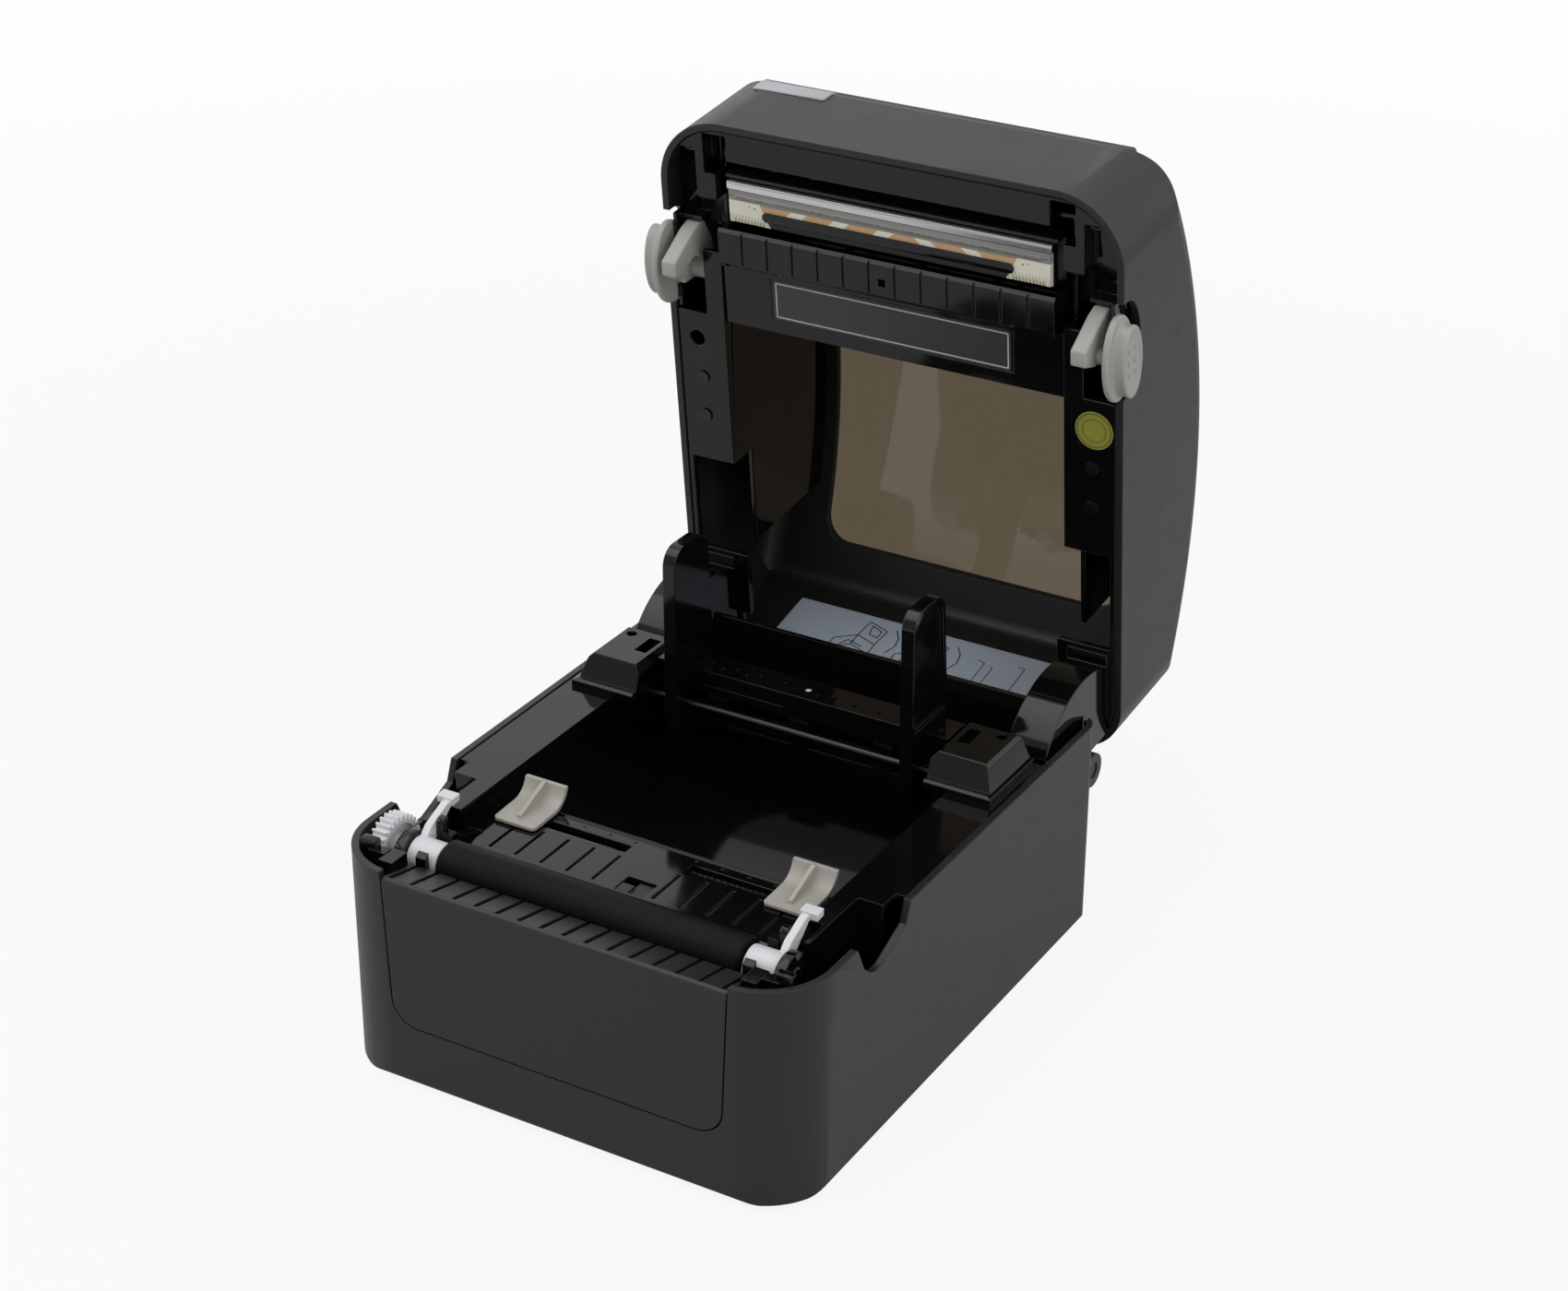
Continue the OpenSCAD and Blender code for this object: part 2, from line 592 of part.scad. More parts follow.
module platen_gear() color(WHITE) at_base() difference() {
  union() {
    spur(platen_y, platen_z, platen_teeth, idler_dir, gear_x0, gear_w);
    rod_x(gear_x0 + gear_w - eps, gear_x0 + gear_w + 2, platen_y, platen_z, 5);
  }
  difference() {
    rod_x(gear_x0 - 1, gear_x0 + gear_w + 3, platen_y, platen_z, shaft_r);
    block(gear_x0 - 2, gear_x0 + gear_w + 3, platen_y - shaft_r, platen_y + shaft_r,
          platen_z + shaft_r - 0.8, platen_z + shaft_r + 1);
  }
  // dished face
  difference() {
    rod_x(gear_x0 + gear_w - 1.5, gear_x0 + gear_w + 1, platen_y, platen_z, gear_rp - 2.4);
    rod_x(gear_x0 + gear_w - 2, gear_x0 + gear_w + 2, platen_y, platen_z, 5);
  }
}

module idler_gear() color(WHITE) at_base() difference() {
  union() {
    spur(idler_y, idler_z, idler_teeth, idler_phase, gear_x0, gear_w);
    rod_x(gear_x0 + gear_w - eps, gear_x0 + gear_w + 1.4, idler_y, idler_z, 5);
  }
  rod_x(gear_x0 - 1, gear_x0 + gear_w + 3, idler_y, idler_z, 2 + run_fit);
  for (a = [0:60:300]) rod_x(gear_x0 - 1, gear_x0 + gear_w + 1,
    idler_y + 9.6 * cos(a), idler_z + 9.6 * sin(a), 2.6);
}

module idler_stud() color(STEEL) at_base() {
  rod_x(gear_x0 - 1.6, bracket_x0, idler_y, idler_z, 2);
  rod_x(gear_x0 - 2.4, gear_x0 - 1.2, idler_y, idler_z, 3.4);
}

module motor_pinion() color(STEEL) at_base() {
  spur(motor_y, motor_z, pinion_teeth, pinion_phase, gear_x0, gear_w);
  rod_x(gear_x0 + gear_w - eps, bracket_x0 + 2, motor_y, motor_z, 2.5);
}

bracket_x0 = gear_x0 + gear_w + 2;  // steel plate between the gears and the motor

module motor_bracket() color(STEEL) at_base() difference() {
  union() {
    along_x(bracket_x0, bracket_x0 + 1.5) polygon([[bulkhead_y + 14, 4], [bulkhead_y + 14, idler_z + 3],
      [idler_y - 4, idler_z + 8], [idler_y + 6, idler_z + 8], [motor_y + motor_r + 1, motor_z + 10],
      [motor_y + motor_r + 1, 4]]);
    block(bracket_x0, bracket_x0 + 10, bulkhead_y + 14, motor_y + motor_r + 1, floor_t, floor_t + 1.2);
  }
  rod_x(bracket_x0 - 1, bracket_x0 + 3, motor_y, motor_z, 4);
}

module stepper_motor() at_base() {
  x0 = bracket_x0 + 1.5;
  color("#8f9294") difference() {
    union() {
      rod_x(x0, x0 + 24, motor_y, motor_z, motor_r - 1);
      rod_x(x0, x0 + 1, motor_y, motor_z, motor_r);
      rod_x(x0 + 11, x0 + 12.4, motor_y, motor_z, motor_r);
    }
    rod_x(x0 - 1, x0 + 4, motor_y, motor_z, 3.4);
  }
  color(CREAM) block(x0 + 16, x0 + 22, motor_y - 6, motor_y + 6, motor_z + motor_r - 1.6, motor_z + motor_r + 3);
}

// bushing and release lever in one moulding; side = -1 draws the left one
module platen_lever(side) {
  x_in = rubber_l / 2 + 1;
  tip_y = platen_y + 18;
  tip_z = rim + 5.2;
  bar = 1.1;
  color(WHITE) mirror([side < 0 ? 1 : 0, 0, 0]) difference() {
    union() {
      rod_x(x_in, seat_x1 + 2.2, platen_y, platen_z, bushing_r);
      rod_x(seat_x1 + 2.2 - eps, seat_x1 + 6, platen_y, platen_z, bushing_r);
      // arm leaning back, and the cross bar at its end
      along_x(seat_x1 + 3.2, seat_x1 + 6) polygon([[platen_y + 1, platen_z + bushing_r - 1.4],
        [platen_y + 5.8, platen_z + 1.5], [platen_y + 9, platen_z + 4.5], [tip_y - 2, tip_z - 2.6],
        [tip_y + 2.2, tip_z - 1.6], [tip_y + 2, tip_z], [tip_y - 3.4, tip_z - 0.2],
        [platen_y + 5, platen_z + 9]]);
      along_x(seat_x1 + 2.3, seat_x1 + 9) polygon([[tip_y - 1.6, tip_z - 2], [tip_y + 2.4, tip_z - 1.6],
        [tip_y + 2.6, tip_z + bar], [tip_y - 1.8, tip_z + bar * 0.7]]);
    }
    rod_x(x_in - 1, seat_x1 + 10, platen_y, platen_z, shaft_r + run_fit);
  }
}

// ---------------------------------------------------------------- roll holder

beam_z1 = rim + beam_h;
beam_z0 = beam_z1 - beam_t;
beam_y1 = beam_y0 + beam_d;
chan_y = (beam_y0 + beam_y1) / 2;   // middle of the rack channel
fin_mod = 0.6;
fin_teeth = 10;
fin_rp = fin_mod * fin_teeth / 2;
chan_z0 = beam_z1 - 7;              // shelf under the racks
rod_y = beam_y0 - 3.2;
rod_z = beam_z0 + 9;
rod_r = 1.5;

module roll_beam() color(GLOSS) at_base() difference() {
  block(-beam_x, beam_x, beam_y0, beam_y1, beam_z0, beam_z1);
  // rack channel behind the front lip
  block(-beam_x - 1, beam_x + 1, beam_y0 + 1.4, beam_y1 - 1.4, chan_z0, beam_z1 - 2);
  block(-beam_x - 1, -7, beam_y0 - 1, beam_y0 + 2, chan_z0 + 1.2, chan_z0 + 3.8);
  block(7, beam_x + 1, beam_y1 - 2, beam_y1 + 1, chan_z0 + 1.2, chan_z0 + 3.8);
  // pockets between the ribs of the front face
  for (i = [0, 1]) both_sides() block(3.8 + i * 34.4, min(30.6 + i * 34.4, beam_x - 2),
    beam_y0 - 1, beam_y1 - 2, beam_z0 + 2, chan_z0 - 1.6);
  // reading marks along the top
  for (i = [1:11], s = [-1, 1]) block(s * i * 5 - 0.2, s * i * 5 + 0.2, beam_y0 + 3,
    beam_y0 + (i % 2 == 0 ? 7 : 5), beam_z1 - 0.4, beam_z1 + 1);
  // pinion stud hole and its turning marks
  translate([0, chan_y, beam_z0]) cylinder(h = beam_t + 1, r = 1.1);
}

module roll_rod() color(STEEL) at_base() rod_x(-beam_x - 4, beam_x + 4, rod_y, rod_z, rod_r);

module roll_pinion() color(WHITE) at_base() translate([0, chan_y, 0]) {
  translate([0, 0, chan_z0 + 0.6]) rotate([0, 0, -90]) linear_extrude(3.8) gear_shape(fin_mod, fin_teeth);
  translate([0, 0, chan_z0 - 1.2]) cylinder(h = 8, r = 1.1 - run_fit);
}

module roll_fin(side) {
  x = side * fin_x;
  top = rim + fin_h;
  color(GLOSS) {
    difference() {
      along_x(x - fin_t / 2, x + fin_t / 2) fin_shape(0);
      // window that the beam passes through, and the bore on the guide rod
      block(x - fin_t, x + fin_t, beam_y0 - gap, beam_y1 + gap, beam_z0 - gap, beam_z1 + gap);
      rod_x(x - fin_t, x + fin_t, rod_y, rod_z, rod_r + run_fit);
      // recessed outer face
      along_x(side > 0 ? x + fin_t / 2 - 1.2 : x - fin_t, side > 0 ? x + fin_t : x - fin_t / 2 + 1.2)
        difference() {
          fin_shape(2);
          translate([beam_y0 - gap - 9, 0]) square([beam_d + 2 * gap + 20, beam_z1 + gap + 3]);
        }
    }
    // tongue into the channel and the rack behind it
    block(x - fin_t / 2, x + fin_t / 2, side < 0 ? beam_y0 - gap - eps : chan_y + fin_rp,
          side < 0 ? chan_y - fin_rp - 0.6 : beam_y1 + gap + eps, chan_z0 + 1.5, chan_z0 + 3.5);
    translate([0, chan_y + side * fin_rp, chan_z0 + 0.6]) mirror([side > 0 ? 1 : 0, 0, 0])
      mirror([0, side > 0 ? 1 : 0, 0]) linear_extrude(3.8) rack_shape(fin_mod, -fin_x - fin_t / 2, 6, 1.7);
  }
}

// side view of a fin, with its edge drawn in by inset
module fin_shape(inset) {
  y0 = beam_y0 - 9.5 + inset;
  y1 = beam_y1 + 3 - inset;
  z0 = beam_z0 - 7 + inset;
  z1 = rim + fin_h - inset;
  r = 7;
  polygon(concat([[y0 + 1, z0], [y1 - 1, z0], [y1, z0 + 1], [y1, beam_z1 + 8]],
    arc(y1 - 3 - r, z1 - r, r, 5, 90, 8), arc(y0 - 0.5 + r, z1 - r, r, 90, 178, 8), [[y0, z0 + 1]]));
}

module roll_block(side) {
  x0 = beam_x;
  x1 = in_x - 3;
  y0 = beam_y0 - 18;
  y1 = beam_y1 + 3;
  z1 = rim + beam_h + 1.5;
  color(GLOSS) mirror([side < 0 ? 1 : 0, 0, 0]) {
    difference() {
      intersection() {
        along_x(x0, x1) polygon([[y0, rail_z], [y0, rim + 1.8], [y0 + 1, rim + 2.6], [y0 + 3, rim + 2.6],
          [y0 + 5.6, z1 - 1.4], [y0 + 7, z1], [y1 - 3.4, z1], [y1 - 2, z1 - 1.4], [y1 - 0.6, rim + 2.6],
          [y1, rim + 1.8], [y1, rail_z]]);
        along_y(y0, y1) polygon([[x0, rail_z], [x0, z1 - 3], [x0 + 2.4, z1], [x1 - 5.4, z1],
          [x1 - 4, z1 - 1.4], [x1 - 1.6, rim + 2.6], [x1, rim + 2], [x1, rail_z]]);
      }
      // pocket and screw hole in the top
      block(x0 + 4, x0 + 9, beam_y0 - 2, beam_y1 - 4, z1 - 4, z1 + 1);
      screw_mounts() cylinder(h = 40, r = 1.2);
      screw_mounts() translate([0, 0, beam_h + 6 - gap / 3]) cylinder(h = 9, r = 2);
      rod_x(x0 - 1, x0 + 4, rod_y, rod_z, rod_r);
    }
    // cheek that hangs inside the bay and holds the rod
    difference() {
      block(x0, bay_x - gap, rod_y - 4, y1 - 2, beam_z0 - 2, rail_z + eps);
      rod_x(x0 - 1, x0 + 4, rod_y, rod_z, rod_r);
      block(x0 + 3, bay_x - gap - 2, rod_y + 3, y1 - 5, beam_z0 - 3, rail_z - 3);
    }
  }
}

module screw_mounts() both_sides() translate([in_x - 12.4, chan_y + 2, rim - 8]) children();

module block_screws() color(STEEL) at_base() screw_mounts() difference() {
  union() {
    cylinder(h = beam_h + 6, r = 1);
    translate([0, 0, beam_h + 6 - eps]) cylinder(h = 1.6, r = 1.8);
  }
  translate([0, 0, beam_h + 6.8]) {
    block(-1.4, 1.4, -0.3, 0.3, 0, 2);
    block(-0.3, 0.3, -1.4, 1.4, 0, 2);
  }
}

// ---------------------------------------------------------------- electronics and rear sockets

module rear_socket(p, depth) {
  y1 = base_d;
  block(p[0] - p[2] / 2 + 0.2, p[0] + p[2] / 2 - 0.2, y1 - depth, y1 + eps,
        p[1] - p[3] / 2 + 0.2, p[1] + p[3] / 2 - 0.2);
}

board_y = base_d - wall - 12;

module main_board() at_base() {
  color(BOARD) block(-62, 62, board_y - 1.6, board_y, 8, 46);
  color(GLOSS) {
    block(-16, 0, board_y - 3.4, board_y - 1.6, 26, 38);
    block(20, 30, board_y - 3, board_y - 1.6, 14, 24);
    for (x = [-54, -44, 44, 54]) translate([x, board_y - 1.6, 20]) rotate([90, 0, 0]) cylinder(h = 6, r = 3.2);
  }
  color(CREAM) block(-58, -38, board_y - 7, board_y - 1.6, 36, 42);
  color(STEEL) for (s = [-1, 1]) block(s * 58 - 3, s * 58 + 3, board_y - 6, board_y + 2, floor_t, 8);
}

module dc_inlet() color(GLOSS) at_base() {
  difference() {
    rear_socket(INLET, base_d - board_y);
    translate([INLET[0], base_d + 1, INLET[1]]) rotate([90, 0, 0]) cylinder(h = 9.4, r = 3.2);
  }
  translate([INLET[0], base_d - 1.4, INLET[1]]) rotate([90, 0, 0]) cylinder(h = 8, r = 1.2);
}

module usb_port() color(STEEL) at_base() {
  difference() {
    rear_socket(USB, base_d - board_y);
    block(USB[0] - 4.4, USB[0] + 4.4, base_d - 9, base_d + 1, USB[1] - 4, USB[1] + 4);
  }
  block(USB[0] - 2.9, USB[0] + 2.9, base_d - 9.1, base_d - 1.6, USB[1] - 1.6, USB[1] + 1.6);
}

module power_switch_bezel() color(GLOSS) at_base() difference() {
  union() {
    rear_socket(SWITCH, 12);
    block(SWITCH[0] - SWITCH[2] / 2 - 1, SWITCH[0] + SWITCH[2] / 2 + 1, base_d, base_d + 1.2,
          SWITCH[1] - SWITCH[3] / 2 - 1, SWITCH[1] + SWITCH[3] / 2 + 1);
  }
  block(SWITCH[0] - 8.6, SWITCH[0] + 8.6, base_d - 8, base_d + 2, SWITCH[1] - 5.6, SWITCH[1] + 5.6);
}

module power_switch() color(GLOSS) at_base() intersection() {
  translate([SWITCH[0], base_d - 4, SWITCH[1]]) rotate([0, 0, 8])
    along_z(-5.3, 5.3)
      polygon([[-7.4, -2], [-7.6, 5.2], [-3, 4.4], [0, 4.2], [3, 4.4], [7.6, 5.2], [7.4, -2]]);
  block(SWITCH[0] - 8.3, SWITCH[0] + 8.3, base_d - 8, base_d + 4, SWITCH[1] - 5.3, SWITCH[1] + 5.3);
}

module along_z(z0, z1) translate([0, 0, z0]) linear_extrude(z1 - z0) children();

// ---------------------------------------------------------------- lid casing

arch_z = rim + lid_h - arch_r;      // axis of the arched roof
front_fillet = 6;
rear_fillet = 9;

// solid of revolution whose rim is the roof, i inside its skin
module roof_drum(r, hx, shoulder) translate([0, arch_y, arch_z]) rotate([0, 90, 0]) rotate([0, 0, 180])
  rotate_extrude($fn = 180) union() {
    translate([0, -hx]) square([r - shoulder, 2 * hx]);
    translate([r - shoulder - eps, -hx + shoulder]) square([shoulder + eps, 2 * (hx - shoulder)]);
    for (s = [-1, 1]) translate([r - shoulder, s * (hx - shoulder)]) circle(r = shoulder, $fn = 48);
  }

// side view of the lid, i inside its skin; the roof itself comes from roof_drum
module lid_side(i, z0) {
  r = arch_r - i;
  f = front_fillet - i / 2;
  fz = arch_z + sqrt(pow(r - f, 2) - pow(arch_y - i - f, 2));
  ft = arch_y - r * (arch_y - i - f) / (r - f);
  g = rear_fillet - i / 2;
  k = rear_lean;
  q = sqrt(1 + k * k);
  a0 = lid_l - (i + g) * q - arch_y;
  b = -2 * a0 * k - 2 * (arch_z - rim);
  c = a0 * a0 + pow(arch_z - rim, 2) - pow(r - g, 2);
  t = (-b + sqrt(b * b - 4 * q * q * c)) / (2 * q * q);
  gy = arch_y + a0 - k * t;
  tang = gy + (gy - arch_y) * g / (r - g);
  difference() {
    union() {
      polygon([[i, z0], [i, fz], [ft, fz], [ft, rim + 2 * lid_h], [tang, rim + 2 * lid_h], [tang, rim + t],
        [gy + g / q, rim + t + g * k / q], [lid_l - i * q - k * (z0 - rim), z0]]);
      translate([i + f, fz]) circle(r = f);
      translate([gy, rim + t]) circle(r = g);
    }
  }
}

module lid_form(i, z0) intersection() {
  translate([0, 0, z0]) linear_extrude(rim + lid_h + 5 - z0)
    plan_outline(half_w - i, i, lid_l - i, front_r - i, lid_rear_r - i);
  along_x(-half_w, half_w) lid_side(i, z0);
  roof_drum(arch_r - i, half_w - i, shoulder_r - i);
}

// raised pad on the roof from y0 to y1
module roof_pad(r0, r1, y0, y1, hx, corner) intersection() {
  translate([0, arch_y, arch_z]) rotate([0, 90, 0]) rotate([0, 0, 180]) rotate_extrude($fn = 180) {
    translate([r0, -hx]) square([r1 - r0 - 0.8, 2 * hx]);
    translate([r1 - 0.8 - eps, -hx + 0.8]) square([0.8 + eps, 2 * hx - 1.6]);
  }
  translate([0, 0, rim]) linear_extrude(lid_h + 9) plan_outline(hx, y0, y1, corner, corner);
}

window_hx = 64;                     // half the width of the opening under the window
opening_y0 = 80;
opening_y1 = 200;
button_a = asin((arch_y - 26) / arch_r);    // place of the feed button along the roof
button_x = 44;
button_r = 6.5;
travel = 1.2;

module on_roof(a, x) translate([x, arch_y, arch_z]) rotate([a, 0, 0]) children();

module latch_notch() along_x(in_x - 2, half_w + 2) translate([notch_y - 1, rim]) {
  translate([-18.4, -2]) square([36.8, 6]);
  translate([0, 3]) scale([1, 0.6]) circle(r = 18.4);
}

module lid_shell() color(CASING) lid_pose() difference() {
  union() {
    lid_form(0, rim + rim_gap);
    intersection() {
      roof_pad(arch_r - 3, arch_r + panel_t, front_fillet / 3, window_y0 - seam, window_w / 2, 2);
      block(-half_w, half_w, 0, lid_l, rim + 20, rim + lid_h + 9);
    }
  }
  lid_form(wall, rim - 1);
  translate([0, 0, rim + 20]) linear_extrude(lid_h)
    round_rect(-window_hx, window_hx, opening_y0, opening_y1, 10);
  both_sides() latch_notch();
  on_roof(button_a, button_x) translate([0, 0, arch_r - 9]) cylinder(h = 20, r = button_r + gap);
  on_roof(button_a, button_x - 14) translate([0, 0, arch_r - 9]) cylinder(h = 20, r = 1.6);
}

module lid_window() color([0.25, 0.2, 0.15, 0.6]) lid_pose() difference() {
  roof_pad(arch_r + 0.05, arch_r + panel_t, window_y0, window_y1, window_w / 2, 8);
  // rim on the inner side leaves a shallow lens over the opening
}

// ---------------------------------------------------------------- lid frame

frame_z0 = rim + 0.8;
frame_t = 2.6;
head_y0 = 14;                       // head bay, front to back
head_y1 = 56;
plate_y1 = 79;                      // rear edge of the plate behind the head
bay_wall = 2;
ceiling_z = rim + 24;
head_hx = 69;                       // half the inner width of the head bay
wide_y0 = 139;                      // wider opening that clears the roll holder blocks
wide_y1 = 178.5;

module lid_frame() color(GLOSS) lid_pose() {
  difference() {
    union() {
      translate([0, 0, frame_z0]) linear_extrude(frame_t) plan_outline(in_x, wall + gap,
        lid_l - wall - gap - 0.6, front_r - wall - gap, lid_rear_r - wall - gap);
      // deep side walls beside the roll
      intersection() {
        both_sides() block(head_hx, head_hx + bay_wall, plate_y1, wide_y1, frame_z0, rim + lid_h);
        lid_form(wall + gap, frame_z0);
      }
      // box that holds the print head, closed towards the lid
      block(-head_hx - bay_wall, head_hx + bay_wall, head_y0 - bay_wall, plate_y1 + eps,
            frame_z0, ceiling_z + bay_wall);
      // ribs that stiffen the flanges
      both_sides() block(head_hx, in_x - 1, 96, 97.6, frame_z0, rim + 14);
      both_sides() block(head_hx, in_x - 1, 132, 133.6, frame_z0, rim + 14);
    }
    block(-head_hx, head_hx, head_y0, plate_y1 + 1, rim, ceiling_z);
    block(-head_hx, head_hx, plate_y1, wide_y0 + 1, rim, rim + 30);
    rod_x(-half_w, half_w, shaft_y, shaft_z, 2.5 + run_fit);
    both_sides() block(head_hx - 3.4, 87, wide_y0, wide_y1, rim, rim + 14);
    block(-66, 66, wide_y0, 213, rim, rim + 22);
    block(-bay_x - 1, bay_x + 1, 205, base_d - wall + 0.5, rim, rim + 22);
    both_sides() {
      block(64, 73.6, 4.6, 20, rim, rim + 9);
      block(77, in_x + 1, 11, 41, rim, rim + 9);
      block(head_hx - 1, 77, 30, 51, rim, rim + 8);
      block(76.6, in_x + 1, 34, notch_y + 20, rim, rim + 9);
      translate([81.5, 88, rim]) cylinder(h = 9, r = 3);
    }
  }
}

// slatted strip behind the head, with the window of the gap sensor
module sensor_strip() color(GLOSS) lid_pose() {
  hx = 67.4;
  y0 = 39;
  y1 = 54.2;
  difference() {
    union() {
      along_x(-hx, hx) polygon([[y0, rim - 1.6], [y0 + 1.4, rim - 3], [y1 - 2, rim - 3], [y1, rim - 1],
        [y1, rim + 4], [y1 - 2, rim + 4], [y1 - 2, rim - 1], [y0 + 1, rim - 1]]);
      both_sides() block(hx - 2, hx, y0 + 1, y1, rim - 1.4, ceiling_z);
      for (x = [-30, 0, 30]) block(x - 1, x + 1, y1 - 2, y1, rim + 4 - eps, ceiling_z);
    }
    for (i = [-6:6]) block(i * 10.4 - 5.2 - 0.4, i * 10.4 - 5.2 + 0.4, y0 - 1, y1 - 2.4, rim - 4, rim - 2.2);
    block(-1.4, 1.4, 45.6, 48.4, rim - 4, rim + 1);
  }
}

module clean_plate() color(GLOSS) lid_pose() {
  y0 = 54.2 + gap / 3;
  difference() {
    block(-head_hx + 0.1, head_hx - 0.1, y0, plate_y1, rim + 2, rim + 4);
    block(-49, 49, 57, 74, rim + 1, rim + 2.3);
  }
  block(-head_hx + 0.1, head_hx - 0.1, plate_y1 - 1.6, plate_y1, rim + 4 - eps, rim + 5.6);
}

module hinge_arm(side) color(GLOSS) lid_pose() mirror([side < 0 ? 1 : 0, 0, 0]) {
  open_to = 236;                    // end of the skin that rests on the stop
  difference() {
    intersection() {
      union() {
        difference() {
          rod_x(arm_x0, arm_x1, hinge_y, hinge_z, arm_r);
          rod_x(arm_x0 - 1, arm_x1 + 1, hinge_y, hinge_z, arm_r - 2.6);
        }
        for (x = [arm_x0, arm_x1 - 2.6]) rod_x(x, x + 2.6, hinge_y, hinge_z, arm_r - 1);
      }
      along_x(arm_x0 - 1, arm_x1 + 1) polygon([[hinge_y - 4, hinge_z - 2], [hinge_y - 4, frame_z0],
        [hinge_y - 60, frame_z0], [hinge_y - 60, hinge_z - 20],
        [hinge_y + 60 * cos(open_to), hinge_z + 60 * sin(open_to)]]);
    }
    rod_x(arm_x0 - 1, arm_x1 + 1, hinge_y, hinge_z, knuckle_r - 1);
  }
  difference() {
    union() {
      rod_x(arm_x0, arm_x1, hinge_y, hinge_z, knuckle_r);
      block(arm_x0, arm_x1, hinge_y - knuckle_r - 2, hinge_y - 3, hinge_z - 3, frame_z0);
      block(arm_x0, arm_x1, wide_y1 + 1, hinge_y - 3, frame_z0 - 2, frame_z0);
    }
    rod_x(arm_x0 - 1, arm_x1 + 1, hinge_y, hinge_z, pin_r + run_fit);
  }
}

module hinge_pins() color(STEEL) at_base() both_sides() {
  rod_x(arm_x0 - 5.4, half_w - 1.2, hinge_y, hinge_z, pin_r);
}

// ---------------------------------------------------------------- print head

head_z = rim + 1.2;                 // face of the heater substrate on the shut lid
head_l = 129;
head_float = 1.2;                   // travel of the sprung head

module head_substrate() color("#c8b58e") lid_pose() {
  difference() {
    block(-head_l / 2 + 0.5, head_l / 2 - 0.5, 24.6, 37, head_z, head_z + 1.2);
    both_sides() for (i = [0:9]) block(head_l / 2 - 3.2 - i * 1.3, head_l / 2 - 2.6 - i * 1.3, 35.4, 38,
      head_z - 1, head_z + 0.4);
  }
  // glaze ridge with the heater line
  along_x(-head_l / 2 + 4, head_l / 2 - 4) polygon(arc(platen_y, head_z + 0.8, 1.2, 220, 320, 6));
}

module head_heatsink() color(STEEL) lid_pose() difference() {
  union() {
    block(-head_l / 2, head_l / 2, 21.4, 37.4, head_z + 1.2, head_z + 8);
    along_x(-head_l / 2, head_l / 2) polygon([[21.4, head_z + 1.3], [21.6, head_z + 0.2], [22.4, head_z - 0.2],
      [24.4, head_z], [24.4, head_z + 1.3]]);
  }
  for (x = [-52:8:52]) block(x - 2.4, x + 2.4, 25, 34, head_z + 4, head_z + 9);
}

module head_chip_cover() color(GLOSS) lid_pose()
  along_x(-49, 49) polygon([[31.2, head_z], [31.6, head_z - 0.5], [34.2, head_z - 0.7], [34.8, head_z]]);

module head_bracket() color(GLOSS) lid_pose() difference() {
  union() {
    block(-head_l / 2 - 1.5, head_l / 2 + 1.5, 19.8, 38, head_z + 8, head_z + 10);
    block(-head_l / 2 - 1.5, head_l / 2 + 1.5, 19.8, 21, head_z + 2, head_z + 8 + eps);
    for (x = [-40, 40]) translate([x, 29, head_z + 10 - eps]) cylinder(h = 6, r = 2.4);
  }
  for (x = [-20, 20]) translate([x, 29, head_z + 7]) cylinder(h = 4, r = 1.6);
}

module head_springs() color(STEEL) lid_pose() for (x = [-40, 40]) translate([x, 29, 0])
  spring(head_z + 10, ceiling_z - head_float, 3.6, 0.5, 5);

// closed-end compression spring as a stack of rings joined by a sleeve of its mean radius
module spring(z0, z1, r, wire, turns) {
  pitch = (z1 - z0 - 2 * wire) / turns;
  for (i = [0:turns]) translate([0, 0, z0 + wire + i * pitch]) rotate_extrude($fn = 36)
    translate([r, 0]) circle(r = wire, $fn = 16);
  difference() {
    translate([0, 0, z0 + wire]) cylinder(h = z1 - z0 - 2 * wire, r = r + 0.1);
    translate([0, 0, z0]) cylinder(h = z1 - z0, r = r - 0.1);
  }
}

// ---------------------------------------------------------------- latches

shaft_y = notch_y + 5;
shaft_z = rim + 9;
latch_x1 = 86;                      // inner face of the latch flange

module latch_shaft() color(STEEL) lid_pose() rod_x(2 - latch_x1, latch_x1 - 2, shaft_y, shaft_z, 2.5);

